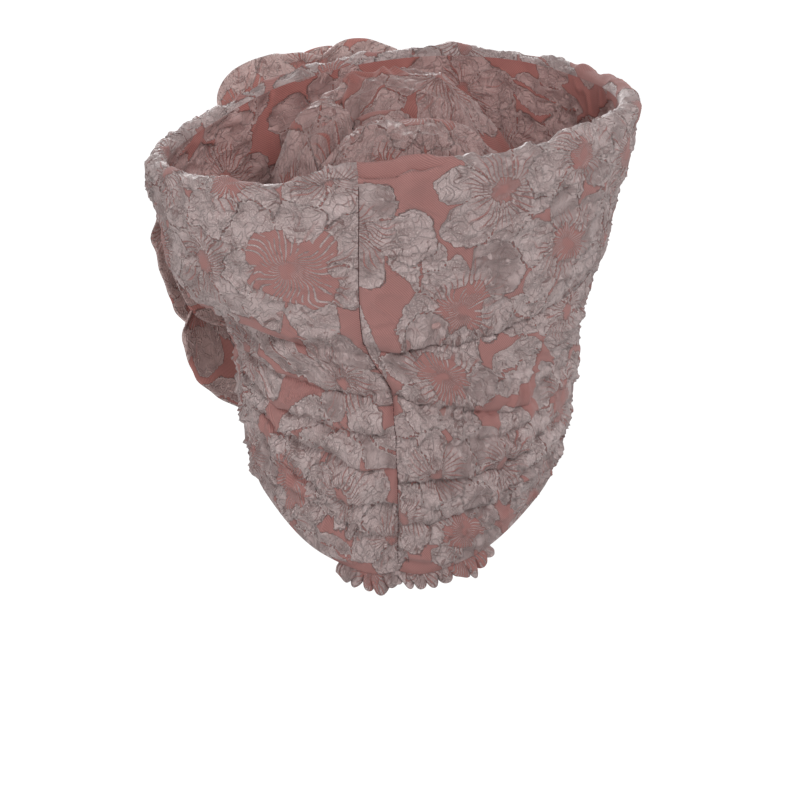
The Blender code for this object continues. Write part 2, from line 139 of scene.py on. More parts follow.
# Gathers, each a valley that starts at the seam. at_seam, halfway and at_end are heights, depth is a
# share of the gathers' depth, width a height, reach a turn in degrees, and lip a share of its droop.
GATHERS = table(
    ("side", "at_seam", "halfway", "at_end", "depth", "width", "reach", "lip"),
    (Side.RIGHT, 0.99, 1.08, 1.20, 1.00, 0.065, 96, 1.0),
    (Side.RIGHT, 0.81, 0.67, 0.80, 0.95, 0.060, 88, 0.5),
    (Side.RIGHT, 0.61, 0.56, 0.68, 0.70, 0.055, 84, 0.4),
    (Side.RIGHT, 0.43, 0.41, 0.52, 0.95, 0.055, 80, 0.6),
    (Side.RIGHT, 0.23, 0.25, 0.36, 0.75, 0.050, 66, 0.4),
    (Side.LEFT, 0.96, 1.00, 1.04, 0.55, 0.070, 92, 0.3),
    (Side.LEFT, 0.80, 0.80, 0.86, 0.85, 0.055, 80, 0.6),
    (Side.LEFT, 0.64, 0.62, 0.68, 0.95, 0.055, 84, 0.6),
    (Side.LEFT, 0.48, 0.49, 0.55, 0.95, 0.050, 80, 0.7),
    (Side.LEFT, 0.31, 0.30, 0.42, 0.80, 0.050, 72, 0.5),
    (Side.LEFT, 0.15, 0.19, 0.28, 0.60, 0.045, 60, 0.4),
)

# Mounds of the crown, as shares of its span and of its peak.
CROWN_MOUNDS = table(
    ("aside", "behind", "wide", "deep", "peak", "turned"),
    (0.03, -0.36, 0.87, 0.62, 1.00, 0),
    (0.52, 0.06, 0.36, 0.46, 0.86, -12),
    (0.12, 0.08, 0.44, 0.28, 0.80, 8),
    (-0.06, 0.50, 0.80, 0.46, 0.80, 6),
)

# Petals of the flower. round is the turn of its middle in degrees from straight up towards the
# wearer's left, spread its width as a turn, reach a share of the flower's. seat and lift are in steps.
PETALS = table(
    ("name", "round", "spread", "reach", "seat", "lift"),
    ("outer_petal_1", 8, 72, 0.89, 1.3, 2.0),
    ("outer_petal_2", 62, 66, 0.82, 1.3, 2.0),
    ("outer_petal_3", 112, 62, 0.87, 1.3, 2.0),
    ("outer_petal_4", 157, 70, 1.12, 1.3, 2.0),
    ("outer_petal_5", 214, 70, 0.98, 1.3, 2.0),
    ("outer_petal_6", 268, 70, 0.98, 1.3, 2.0),
    ("outer_petal_7", 319, 68, 1.05, 1.3, 2.0),
    ("middle_petal_1", 40, 84, 0.76, 2.8, 4.2),
    ("middle_petal_2", 116, 84, 0.90, 2.8, 4.2),
    ("middle_petal_3", 184, 84, 0.80, 2.8, 4.2),
    ("middle_petal_4", 256, 84, 0.80, 2.8, 4.2),
    ("middle_petal_5", 322, 84, 0.98, 2.8, 4.2),
    ("inner_petal_1", 20, 104, 0.50, 4.4, 6.0),
    ("inner_petal_2", 110, 104, 0.52, 4.4, 6.0),
    ("inner_petal_3", 200, 104, 0.50, 4.4, 6.0),
    ("inner_petal_4", 290, 104, 0.52, 4.4, 6.0),
)

# The repeat of the brocade, charted. across and up are in millimetres on the flat cloth and
# size is a blossom's reach or half a leaf's length. shape is a blossom's petals or a leaf's slimness,
# bare the share of a blossom's reach that is ground crossed by fine threads, and turned is in degrees.
MOTIFS = table(
    ("kind", "across", "up", "size", "shape", "bare", "turned"),
    (Motif.LEAF, -46, 50, 26, 0.52, 0.0, 80),
    (Motif.LEAF, -20, 6, 26, 0.42, 0.0, 85),
    (Motif.LEAF, -30, -46, 28, 0.45, 0.0, 170),
    (Motif.LEAF, -104, -14, 30, 0.45, 0.0, 160),
    (Motif.LEAF, -112, 14, 30, 0.45, 0.0, 20),
    (Motif.LEAF, -100, 104, 30, 0.42, 0.0, 100),
    (Motif.LEAF, -118, -66, 28, 0.42, 0.0, 70),
    (Motif.LEAF, 58, -48, 32, 0.45, 0.0, 155),
    (Motif.LEAF, 62, -6, 30, 0.45, 0.0, 40),
    (Motif.LEAF, 8, -52, 26, 0.46, 0.0, 20),
    (Motif.LEAF, 96, 22, 30, 0.42, 0.0, 80),
    (Motif.LEAF, 128, -44, 30, 0.42, 0.0, 120),
    (Motif.LEAF, 128, 92, 32, 0.42, 0.0, 30),
    (Motif.LEAF, 54, -116, 28, 0.42, 0.0, 10),
    (Motif.LEAF, 104, -114, 28, 0.42, 0.0, 160),
    (Motif.LEAF, 150, -84, 32, 0.45, 0.0, 100),
    (Motif.BLOSSOM, 166, -60, 37, 5, 0.16, 70),
    (Motif.BLOSSOM, -166, 88, 35, 6, 0.26, 0),
    (Motif.BLOSSOM, 154, 108, 30, 5, 0.24, 30),
    (Motif.BLOSSOM, -176, 40, 33, 5, 0.18, 20),
    (Motif.BLOSSOM, 148, 2, 33, 5, 0.20, 40),
    (Motif.BLOSSOM, -15, 63, 36, 6, 0.14, 0),
    (Motif.BLOSSOM, 10, 92, 29, 5, 0.12, 40),
    (Motif.BLOSSOM, -82, 84, 39, 6, 0.20, 20),
    (Motif.BLOSSOM, -124, 96, 32, 6, 0.22, 50),
    (Motif.BLOSSOM, -128, 50, 37, 6, 0.28, 10),
    (Motif.BLOSSOM, -70, 22, 37, 5, 0.38, 54),
    (Motif.BLOSSOM, -154, 8, 34, 5, 0.16, 15),
    (Motif.BLOSSOM, 77, 46, 39, 6, 0.16, 35),
    (Motif.BLOSSOM, 56, 92, 34, 5, 0.32, 75),
    (Motif.BLOSSOM, 100, 94, 34, 6, 0.18, 0),
    (Motif.BLOSSOM, 130, 50, 37, 6, 0.36, 10),
    (Motif.BLOSSOM, 29, 44, 44, 7, 0.50, 95),
    (Motif.BLOSSOM, 24, -20, 31, 6, 0.12, 10),
    (Motif.BLOSSOM, 102, -18, 36, 5, 0.14, 65),
    (Motif.BLOSSOM, -146, -42, 36, 6, 0.30, 30),
    (Motif.BLOSSOM, -58, -14, 37, 6, 0.44, 25),
    (Motif.BLOSSOM, 76, -84, 35, 6, 0.42, 0),
    (Motif.BLOSSOM, -92, -66, 34, 5, 0.12, 50),
    (Motif.BLOSSOM, 34, -82, 31, 5, 0.12, 85),
    (Motif.BLOSSOM, -46, -66, 30, 5, 0.12, 20),
    (Motif.BLOSSOM, 118, -76, 34, 5, 0.16, 15),
    (Motif.BLOSSOM, 158, -110, 34, 6, 0.30, 55),
    (Motif.BLOSSOM, -64, -106, 30, 7, 0.42, 5),
    (Motif.BLOSSOM, -126, -98, 35, 5, 0.14, 25),
    (Motif.BLOSSOM, 4, -112, 30, 5, 0.16, 60),
    (Motif.BLOSSOM, -26, -94, 24, 5, 0.14, 30),
)


def along_curve(places: Array, values: Array, spots: Array) -> Array:
    """Values on a smooth curve that keeps its slope from run to run.

    Args:
        places: Places of the known values, with one more at each end for the slopes there.
        values: The known values.
        spots: Where to read, between the second place and the last but one.

    Returns:
        The value at each spot.
    """
    first = np.clip(np.searchsorted(places[1:-1], spots) - 1, 0, len(places) - 4)
    place0, place1, place2, place3 = (places[first + step] for step in range(4))
    value0, value1, value2, value3 = (values[first + step] for step in range(4))
    run = place2 - place1
    share = (spots - place1) / run
    slope1 = (value2 - value0) / (place2 - place0) * run
    slope2 = (value3 - value1) / (place3 - place1) * run
    return (
        (2 * share**3 - 3 * share**2 + 1) * value1
        + (share**3 - 2 * share**2 + share) * slope1
        + (3 * share**2 - 2 * share**3) * value2
        + (share**3 - share**2) * slope2
    )


def read(rows: Table, height: Array, column: str) -> Array:
    """A table's column at each height, held at its end values beyond its ends.

    Args:
        rows: A table with a column of heights.
        height: Where to read.
        column: The name of the column.

    Returns:
        The column's value at each height.
    """
    places, values = rows["height"], rows[column]
    places = np.concatenate(([places[0] - 1e-6], places, [places[-1] + 1e-6]))
    values = np.concatenate((values[:1], values, values[-1:]))
    return along_curve(places, values, np.clip(height, places[1], places[-2]))


def read_round(rows: Table, turn: Array, column: str) -> Array:
    """A table's column at each turn, on a smooth closed curve.

    Args:
        rows: A table with a column of turns in degrees.
        turn: Where to read, in radians.
        column: The name of the column.

    Returns:
        The column's value at each turn.
    """
    places, values = rows["turn"], rows[column]
    places = np.concatenate(([places[-1] - 360], places, places[:2] + 360.0))
    values = np.concatenate((values[-1:], values, values[:2]))
    return along_curve(places, values, np.degrees(turn) % 360)


def bump(distance: Array) -> Array:
    """1 in the middle, falling smoothly to 0 about two widths away."""
    return np.exp(-(distance**2))


def ease(value: Array, low: float, high: float) -> Array:
    """0 below low, 1 above high, and a smooth step between them."""
    share = np.clip((value - low) / (high - low), 0.0, 1.0)
    return share * share * (3 - 2 * share)


def rounded(share: Array) -> Array:
    """The height of a quarter circle: 0 at share 0, and 1 from share 1 on."""
    return np.sqrt(np.clip(1 - (1 - np.minimum(share, 1.0)) ** 2, 0.0, 1.0))


def lattice(column: Array, row: Array, seed: int) -> Array:
    """A fixed value for each whole-number place, that looks random.

    Args:
        column: Whole numbers across.
        row: Whole numbers up.
        seed: Chooses the values.

    Returns:
        Values from -1 to 1.
    """
    mixed = (column * 374761393 + row * 668265263 + seed * 974711) & 0xFFFFFFFF
    mixed = ((mixed ^ (mixed >> 13)) * 1274126177) & 0xFFFFFFFF
    return ((mixed ^ (mixed >> 16)) & 0xFFFF) / 32767.5 - 1.0


def ripple(across: Array, up: Array, seed: int) -> Array:
    """Smooth waves of no fixed direction.

    Args:
        across: Places across, about two units from crest to crest.
        up: Places up, in the same way.
        seed: Chooses the waves.

    Returns:
        The waves' height at each place, from -1 to 1.
    """
    column, row = np.floor(across).astype(np.int64), np.floor(up).astype(np.int64)
    aside, above = across - column, up - row
    aside, above = aside**2 * (3 - 2 * aside), above**2 * (3 - 2 * above)
    low = lattice(column, row, seed) * (1 - aside) + lattice(column + 1, row, seed) * aside
    high = lattice(column, row + 1, seed) * (1 - aside) + lattice(column + 1, row + 1, seed) * aside
    return low * (1 - above) + high * above


def creases(across: Array, up: Array, seed: int, width: float) -> Array:
    """Thin lines that wander and join, with wide fields between them.

    Args:
        across: Places across, in the fields' own size.
        up: Places up, in the same size.
        seed: Chooses the lines.
        width: How wide a line is, as a share of a field.

    Returns:
        1 along a line, falling to 0 on the fields.
    """
    bent = across + 0.7 * ripple(across * 0.9, up * 0.9, seed + 1)
    lifted = up + 0.7 * ripple(across * 0.9, up * 0.9, seed + 2)
    return np.clip(1 - np.abs(ripple(bent, lifted, seed)) / width, 0.0, 1.0)


@dataclass(frozen=True)
class Wave:
    """Small forms of cloth: their width and height on it, their depth, and the seed that places them.

    They are smooth waves, or creases where line is a crease's share of the field beside it.
    """

    wide: float
    high: float
    depth: float
    seed: int
    line: float = 0.0

    def at(self, flat: Array) -> Array:
        """How far they stand out.

        Args:
            flat: Places on the flat cloth.

        Returns:
            The way out in metres.
        """
        across, up = flat[..., 0] / self.wide, flat[..., 1] / self.high
        if self.line:
            return self.depth * creases(across, up, self.seed, self.line)
        return self.depth * ripple(across, up, self.seed)


def together(waves: tuple[Wave, ...], flat: Array) -> Array:
    """How far several kinds of small forms stand out at once, in metres."""
    return sum(wave.at(flat) for wave in waves)


@dataclass(frozen=True)
class Chart:
    """The floral repeat of the brocade, read at places on the flat cloth."""

    width: float = 0.34
    length: float = 0.25
    vein: float = 0.0007
    rib: float = 0.0007
    wander: tuple[Wave, Wave] = (Wave(0.009, 0.009, 0.0024, 11), Wave(0.009, 0.009, 0.0024, 13))
    petal_length: float = 0.92
    petal_spread: float = 0.14
    dip: float = 0.28
    dip_spread: float = 0.14
    dip_roundness: float = 2.4
    ruffle: float = 0.085
    swirl: float = 0.30
    leaf_roundness: float = 1.8
    plain: float = 1.5

    def size(self, row: int) -> float:
        """A blossom's reach or half a leaf's length, in metres."""
        return float(MOTIFS["size"][row]) * MILLIMETRE

    def blossom(self, x: Array, y: Array, row: int) -> tuple[Array, Array, Array]:
        """A blossom of overlapping petals.

        Args:
            x: Places across from its middle, in metres.
            y: Places up from its middle, in metres.
            row: Its row in the chart.

        Returns:
            How far inside a petal each place lies, how far outside the blossom's bare middle, both
            in metres, and the petal's number.
        """
        size, half = self.size(row), math.pi / MOTIFS["shape"][row]
        away, angle = np.hypot(x, y), np.arctan2(y, x)
        share = away / size
        angle = angle + self.swirl * share * lattice(np.array(row), np.array(7), 3)
        number = np.round(angle / (2 * half))
        off = np.abs(angle - number * 2 * half)
        petal = np.mod(number, MOTIFS["shape"][row]).astype(np.int64)
        rows = np.full(petal.shape, row)
        length = self.petal_length + self.petal_spread * lattice(petal, rows, 5)
        dip = self.dip + self.dip_spread * lattice(petal, rows, 6)
        ruffled = ripple(angle * 3.1, share * 0.6 + row, 17) + 0.4 * ripple(angle * 9.3, share + row, 18)
        edge = size * (length * (1 - dip * (off / half) ** self.dip_roundness) + self.ruffle * ruffled)
        side = away * np.sin(np.maximum(half - off, 0.0)) - self.vein / 2
        middle = 0.92 * MOTIFS["bare"][row] * size * (1 + 0.24 * ripple(angle * 4.0, share * 0 + row, 19))
        return np.minimum(np.minimum(edge - away, side), away - middle), away - middle, petal

    def leaf(self, x: Array, y: Array, row: int) -> tuple[Array, Array, Array]:
        """A pointed leaf with a rib.

        Args:
            x: Places along it from its middle, in metres.
            y: Places across it from its rib, in metres.
            row: Its row in the chart.

        Returns:
            The same as for a blossom: a leaf has no bare middle, and its halves are numbered.
        """
        size = self.size(row)
        wide = size * MOTIFS["shape"][row]
        along = x / size + 0.12 * np.abs(y) / wide
        bent = np.abs(y + 0.10 * wide * np.sin(along * 2.5))
        inside = (1 - np.abs(along) ** self.leaf_roundness) * wide * 0.9 - bent
        rib = np.abs(y) - self.rib * (1 - along)
        return np.minimum(inside, rib), np.full(x.shape, 1.0), (y > 0).astype(np.int64)

    def look_up(self, flat: Array) -> tuple[Array, Array]:
        """What is woven at each place on the flat cloth.

        Args:
            flat: Places across and up, in metres, in an array whose last axis is 2.

        Returns:
            How far inside a raised motif each place lies, in metres, negative on the ground; and
            the place as seen from the last blossom's middle, in that blossom's reach, with a tone.
        """
        across = flat[..., 0] + self.wander[0].at(flat)
        up = flat[..., 1] + self.wander[1].at(flat)
        silk = np.full(across.shape, -0.02)
        bloom = np.zeros((*across.shape, 3))
        bloom[..., 0] = self.plain
        for row, kind in enumerate(MOTIFS["kind"]):
            east = across - MOTIFS["across"][row] * MILLIMETRE
            north = up - MOTIFS["up"][row] * MILLIMETRE
            east = (east + self.width / 2) % self.width - self.width / 2
            north = (north + self.length / 2) % self.length - self.length / 2
            turned, size = math.radians(MOTIFS["turned"][row]), self.size(row)
            x = east * math.cos(turned) + north * math.sin(turned)
            y = north * math.cos(turned) - east * math.sin(turned)
            near = np.hypot(x, y) < 1.3 * size
            x, y, before = x[near], y[near], silk[near]
            shape = self.blossom if kind is Motif.BLOSSOM else self.leaf
            inside, cleared, part = shape(x, y, row)
            before = np.minimum(before, cleared)
            silk[near] = np.maximum(inside, np.minimum(before, -inside - self.vein))
            mine = inside > -self.vein / 2
            own = bloom[near]
            own[..., 2] = np.where(mine, lattice(part, np.full(part.shape, row), 9), own[..., 2])
            if kind is Motif.BLOSSOM:
                mine |= cleared < 0
                own[..., 0] = np.where(mine, x / size, own[..., 0])
                own[..., 1] = np.where(mine, y / size, own[..., 1])
            else:
                own[..., 0] = np.where(mine, self.plain, own[..., 0])
            bloom[near] = own
        return silk, bloom


@dataclass(frozen=True)
class Blister:
    """The relief of the crinkled motifs, which stand off the flat ground."""

    puff: float = 0.0009
    edge: float = 0.0013
    crinkles: tuple[Wave, ...] = (
        Wave(0.0095, 0.0074, 0.0011, 21, 0.45),
        Wave(0.0125, 0.0080, -0.0015, 31, 0.25),
        Wave(0.0075, 0.0060, 0.0009, 41),
    )
    ground: Wave = Wave(0.013, 0.011, 0.0003, 45)

    def relief(self, flat: Array, silk: Array) -> Array:
        """How far the cloth's face stands out at each place on the flat cloth.

        Args:
            flat: Places across and up, in metres.
            silk: How far inside a raised motif each place lies, in metres.

        Returns:
            The relief in metres.
        """
        raised = ease(silk, -0.3 * self.edge, self.edge)
        return raised * (self.puff + together(self.crinkles, flat)) + (1 - raised) * self.ground.at(flat)


@dataclass
class ClothGrid:
    """A cloth's face as points in rows and columns, with each point's place on the flat cloth."""

    points: Array
    flat: Array

    def normals(self, sign: float) -> Array:
        """The face's unit normals.

        Args:
            sign: 1, or -1 to turn them round.

        Returns:
            A normal for each point, which runs on over the join of a closed round.
        """
        padded = self.points
        closed = np.allclose(padded[:, 0], padded[:, -1], atol=1e-7)
        if closed:
            padded = np.concatenate((padded[:, -2:-1], padded, padded[:, 1:2]), axis=1)
        normal = np.cross(np.gradient(padded, axis=1), np.gradient(padded, axis=0))
        if closed:
            normal = normal[:, 1:-1]
        length = np.linalg.norm(normal, axis=-1, keepdims=True)
        return sign * normal / np.maximum(length, 1e-12)

    def raised(self, relief: Array, sign: float = 1.0) -> "ClothGrid":
        """The same face with its points pushed out along its normals, by so much."""
        return ClothGrid(self.points + self.normals(sign) * relief[..., None], self.flat)

    def faces(self, first: int, flip: bool) -> Array:
        """Quads between neighbouring points.

        Args:
            first: The number of the first point.
            flip: Whether the quads are turned round.

        Returns:
            Four points' numbers for each quad.
        """
        rows, columns = self.points.shape[:2]
        number = first + np.arange(rows * columns).reshape(rows, columns)
        quads = np.stack((number[:-1, :-1], number[:-1, 1:], number[1:, 1:], number[1:, :-1]), axis=-1)
        quads = quads.reshape(-1, 4)
        return quads[:, ::-1] if flip else quads


def arc_lengths(points: Array, axis: int) -> Array:
    """The way along a grid of points.

    Args:
        points: Points in rows and columns.
        axis: 0 to go up the columns, 1 along the rows.

    Returns:
        The way to each point from the first in its column or row, in metres.
    """
    steps = np.linalg.norm(np.diff(points, axis=axis), axis=-1)
    start = np.zeros_like(np.take(steps, [0], axis=axis))
    return np.concatenate((start, np.cumsum(steps, axis=axis)), axis=axis)


def surface_area(points: Array) -> float:
    """The area of a face of points in rows and columns, in square metres."""
    one, other = points[1:, 1:] - points[:-1, :-1], points[1:, :-1] - points[:-1, 1:]
    return float(np.linalg.norm(np.cross(one, other), axis=-1).sum() / 2)


def new_object(name: str, data: bpy.types.ID) -> bpy.types.Object:
    """A new object in the scene.

    Args:
        name: Its name.
        data: Its mesh, light or camera.

    Returns:
        The object.
    """
    made = bpy.data.objects.new(name, data)
    bpy.context.scene.collection.objects.link(made)
    return made


@dataclass(frozen=True)
class Loom:
    """Turns grids of cloth into pieces that carry the weave's places with them."""

    chart: Chart = Chart()
    blister: Blister = Blister()

    def depth(self, flat: Array) -> Array:
        """The relief of the motifs at places on the flat cloth, in metres."""
        return self.blister.relief(flat, self.chart.look_up(flat)[0])

    def piece(
        self, name: str, parts: list[tuple[ClothGrid, bool]], material: bpy.types.Material
    ) -> bpy.types.Object:
        """One welded object made of grids that meet at their edges.

        Args:
            name: The object's name.
            parts: Grids, each with whether its faces are turned round.
            material: The finish.

        Returns:
            The object, which rides on the frame.
        """
        points = np.concatenate([grid.points.reshape(-1, 3) for grid, _ in parts])
        flat = np.concatenate([grid.flat.reshape(-1, 2) for grid, _ in parts])
        faces, first = [], 0
        for grid, flip in parts:
            faces.append(grid.faces(first, flip))
            first += grid.points.shape[0] * grid.points.shape[1]
        corners = np.concatenate(faces)
        places = np.round(points * 1e6).astype(np.int64)
        _, kept, welded = np.unique(places, axis=0, return_index=True, return_inverse=True)
        welded = welded.reshape(-1)[corners]
        real = welded != np.roll(welded, -1, axis=1)
        whole = real.sum(axis=1) >= 3
        corners, welded, real = corners[whole], welded[whole], real[whole]
        loops, counts = welded[real], real.sum(axis=1)
        mesh = bpy.data.meshes.new(name)
        mesh.vertices.add(len(kept))
        mesh.vertices.foreach_set("co", points[kept].astype(np.float32).ravel())
        mesh.loops.add(len(loops))
        mesh.loops.foreach_set("vertex_index", loops.astype(np.int32))
        mesh.polygons.add(len(counts))
        starts = np.concatenate(([0], np.cumsum(counts)[:-1]))
        mesh.polygons.foreach_set("loop_start", starts.astype(np.int32))
        at_corner = flat[corners[real]]
        silk, bloom = self.chart.look_up(at_corner)
        layer = mesh.uv_layers.new(name="cloth")
        layer.uv.foreach_set("vector", at_corner.astype(np.float32).ravel())
        values = mesh.attributes.new("silk", "FLOAT", "CORNER")
        values.data.foreach_set("value", (silk / MILLIMETRE).astype(np.float32))
        vectors = mesh.attributes.new("bloom", "FLOAT_VECTOR", "CORNER")
        vectors.data.foreach_set("vector", bloom.astype(np.float32).ravel())
        mesh.update(calc_edges=True)
        mesh.validate()
        mesh.shade_smooth()
        mesh.materials.append(material)
        obj = new_object(name, mesh)
        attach(obj, "root")
        LOG.info("%s: %d triangles", name, int((counts - 2).sum()))
        return obj


@dataclass
class Wall:
    """The wrap's wall as faces of turn and height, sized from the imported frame."""

    head_back: float = 0.100
    head_side: float = 0.092
    head_front: float = 0.101
    hem_high: float = -0.062
    foot_back: float = -0.041
    foot_side: float = -0.036
    foot_front: float = -0.046
    rim_low: float = 0.036
    rim_high: float = 0.080
    head_cloth: float = 0.0025
    ring_pad: float = 0.0055
    rim_pad: float = 0.0105
    pad_start: float = 0.25
    join_start: float = 0.8
    seam_groove: float = 0.0035
    seam_width: float = 0.007
    ring_seam: float = 0.0010
    seam_line: float = 0.0016
    line_width: float = 0.0012
    pinch_depth: float = 0.006
    pinch_width: float = 0.015
    pinch_height: float = 0.82
    pinch_spread: float = 0.11
    seam_fade_end: float = 1.05
    seam_fade: float = 0.10
    gather_depth: float = 0.0065
    gather_start: float = 0.35
    gather_growth: float = 6.0
    gather_round: float = 0.58
    gather_sharp: float = 0.92
    lip_droop: float = 0.0045
    lip_offset: float = 0.55
    lip_width: float = 0.8
    roll_middle: float = 1.15
    roll_width: float = 0.22
    roll_rise: float = 0.0048
    roll_groove: float = 0.0045
    step: float = 0.01
    ring_back: float = field(init=False)
    ring_left: float = field(init=False)
    ring_right: float = field(init=False)
    ring_front: float = field(init=False)
    hem_low: float = field(init=False)

    def __post_init__(self) -> None:
        """Takes the ring's reaches and the lowest hem from the frame."""
        lowest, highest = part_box("wrap_shell")
        self.ring_back, self.ring_front = highest.y, -lowest.y
        self.ring_left, self.ring_right = highest.x, -lowest.x
        self.hem_low = lowest.z

    def level(self, turn: Array, height: Array) -> Array:
        """The Z of each height at its turn.

        Args:
            turn: Turns from the centre back.
            height: Heights on the wall.

        Returns:
            The Z of each place.
        """
        along = np.cos(turn)
        end = np.where(along > 0, self.foot_back, self.foot_front)
        foot = self.foot_side + (end - self.foot_side) * along**2
        hem = self.hem_low + (self.hem_high - self.hem_low) * read_round(EDGE_LEVELS, turn, "hem")
        rim = self.rim_low + (self.rim_high - self.rim_low) * read_round(EDGE_LEVELS, turn, "rim")
        return np.where(height <= 1, hem + (foot - hem) * height, foot + (rim - foot) * (height - 1))

    def reaches(self, height: Array) -> tuple[Array, Array, Array, Array, Array]:
        """How far the wall stands out.

        Args:
            height: Heights on the wall.

        Returns:
            Its reaches to the back, left, right and front, and its back half's sideways shift.
        """
        join = np.clip((height - self.join_start) / (1 - self.join_start), 0.0, 1.0) ** 2
        found = []
        for column, row, base, full in (
            ("back", "back", self.head_back, self.ring_back),
            ("left", "side", self.head_side, self.ring_left),
            ("right", "side", self.head_side, self.ring_right),
            ("front", "front", self.head_front, self.ring_front),
        ):
            start = at_foot = RING_SECTIONS[column][0]
            foot = base * HEAD_SECTIONS[row][-1]
            below = base * read(HEAD_SECTIONS, height, row)
            if row == "side":
                start = 0.0
                below = below + (full - base) * at_foot * join
            share = (read(RING_SECTIONS, height, column) - start) / (1 - start)
            found.append(np.where(height <= 1, below, foot + (full - foot) * share))
        return (*found, self.head_side * read(HEAD_SECTIONS, height, "shift"))

    def plain(self, turn: Array, height: Array) -> Array:
        """The outer face without seam and gathers.

        Args:
            turn: Turns from the centre back.
            height: Heights on the wall.

        Returns:
            A point for each place.
        """
        back, left, right, front, shift = self.reaches(height)
        across, along = np.sin(turn), np.cos(turn)
        x = np.where(across > 0, left, right) * across + shift * np.maximum(0.0, along)
        y = np.where(along > 0, back, front) * along
        return np.stack((x, y, self.level(turn, height)), axis=-1)

    def out(self, turn: Array, height: Array) -> Array:
        """The plain face's outward unit normals.

        Args:
            turn: Turns from the centre back.
            height: Heights on the wall.

        Returns:
            A normal for each place.
        """
        around = self.plain(turn + self.step, height) - self.plain(turn - self.step, height)
        above = self.plain(turn, np.minimum(height + self.step, 2.0))
        below = self.plain(turn, np.maximum(height - self.step, 0.0))
        normal = np.cross(above - below, around)
        return normal / np.linalg.norm(normal, axis=-1, keepdims=True)

    def seam_turn(self, height: Array) -> Array:
        """The turn at which the centre-back seam stands."""
        _, left, _, _, shift = self.reaches(height)
        return np.arcsin((self.head_side * read(SEAM_LINE, height, "aside") - shift) / left)

    def from_seam(self, turn: Array, height: Array) -> Array:
        """Turns measured from the centre-back seam, from minus half a turn to half a turn."""
        return (turn - self.seam_turn(height) + math.pi) % math.tau - math.pi

    def drawn(self, turn: Array, height: Array) -> tuple[Array, Array]:
        """What the seam and the gathers do to the cloth.

        Args:
            turn: Turns from the centre back.
            height: Heights on the wall.

        Returns:
            How far the cloth is drawn in at each place, and how far it droops, in metres.
        """
        from_seam = self.from_seam(turn, height)
        across = from_seam * self.reaches(height)[0]
        on_head = np.clip((self.seam_fade_end - height) / self.seam_fade, 0.0, 1.0)
        groove = self.ring_seam + (self.seam_groove - self.ring_seam) * on_head
        line = self.seam_line * np.exp(-np.abs(across) / self.line_width)
        pinch = bump((height - self.pinch_height) / self.pinch_spread) * bump(across / self.pinch_width)
        depth = groove * bump(across / self.seam_width) + line + self.pinch_depth * pinch
        droop = np.zeros_like(depth)
        for i, side in enumerate(GATHERS["side"]):
            at_seam, halfway, at_end = (GATHERS[name][i] for name in ("at_seam", "halfway", "at_end"))
            share = side.value * from_seam / math.radians(GATHERS["reach"][i])
            near = (halfway - at_seam) * np.minimum(2 * share, 1)
            middle = at_seam + near + (at_end - halfway) * np.maximum(2 * share - 1, 0)
            fade = np.minimum(1.0, self.gather_start + self.gather_growth * share) * (1 - share**2)
            fade = np.where((share >= 0) & (share < 1), fade, 0.0) * GATHERS["depth"][i]
            away = (height - middle) / GATHERS["width"][i]
            valley = self.gather_round * bump(away) + self.gather_sharp * np.exp(-4.0 * np.abs(away))
            lip = bump((away - self.lip_offset) / self.lip_width)
            depth = depth + self.gather_depth * fade * valley
            droop = droop + self.lip_droop * GATHERS["lip"][i] * fade * lip
        return depth, droop

    def thickness(self, height: Array) -> Array:
        """How thick the wall is: cloth on the head part, cloth over padding on the ring.

        Args:
            height: Heights on the wall.

        Returns:
            The thickness in metres.
        """
        up = np.maximum(height - 1, 0.0)
        padding = (self.ring_pad - self.head_cloth) * np.minimum(1.0, up / self.pad_start)
        return self.head_cloth + padding + (self.rim_pad - self.ring_pad) * up**6

    def outer(self, turn: Array, height: Array) -> Array:
        """The outer face with its seam and gathers.

        Args:
            turn: Turns from the centre back.
            height: Heights on the wall.

        Returns:
            A point for each place.
        """
        depth, droop = self.drawn(turn, height)
        points = self.plain(turn, height) - self.out(turn, height) * depth[..., None]
        points[..., 2] -= droop
        return points

    def inner(self, turn: Array, height: Array, gap: Array | float = 0.0) -> Array:
        """The inner face.

        Args:
            turn: Turns from the centre back.
            height: Heights on the wall.
            gap: How far inside the face to go.

        Returns:
            A point for each place.
        """
        depth = self.drawn(turn, height)[0] + self.thickness(height) + gap
        return self.plain(turn, height) - self.out(turn, height) * depth[..., None]

    def rim(self, turn: Array, swing: Array) -> Array:
        """The rolled rim.

        Args:
            turn: Turns from the centre back.
            swing: 0 at its outer side, and half a turn at its inner side.

        Returns:
            A point for each place.
        """
        top = np.full(np.shape(turn), 2.0)
        outer, inner = self.outer(turn, top), self.inner(turn, top)
        radius = np.linalg.norm(outer - inner, axis=-1, keepdims=True) / 2
        away = (outer - inner) / (2 * radius)
        along = self.outer(turn + self.step, top) - self.outer(turn - self.step, top)
        up = np.cross(along, away)
        up = up / np.linalg.norm(up, axis=-1, keepdims=True)
        up = np.where(up[..., 2:] > 0, up, -up)
        raised = radius[..., 0] * np.sin(swing) + self.rolls(self.from_seam(turn, top), swing)
        return (outer + inner) / 2 + away * radius * np.cos(swing)[..., None] + up * raised[..., None]

    def rolls(self, from_seam: Array, swing: Array) -> Array:
        """How far the rim is raised where its edge is rolled twice.

        Args:
            from_seam: Turns measured from the seam.
            swing: Places on the rim's round.

        Returns:
            The rise in metres, with the groove between the two rolls.
        """
        twice = ease(from_seam, -0.38, -0.22) * (1 - ease(from_seam, 0.12, 0.28))
        groove = bump((swing - self.roll_middle) / self.roll_width)
        inner = ease(swing, 1.2, 1.9) * np.sin(swing)
        return twice * (self.roll_rise * inner - self.roll_groove * groove)


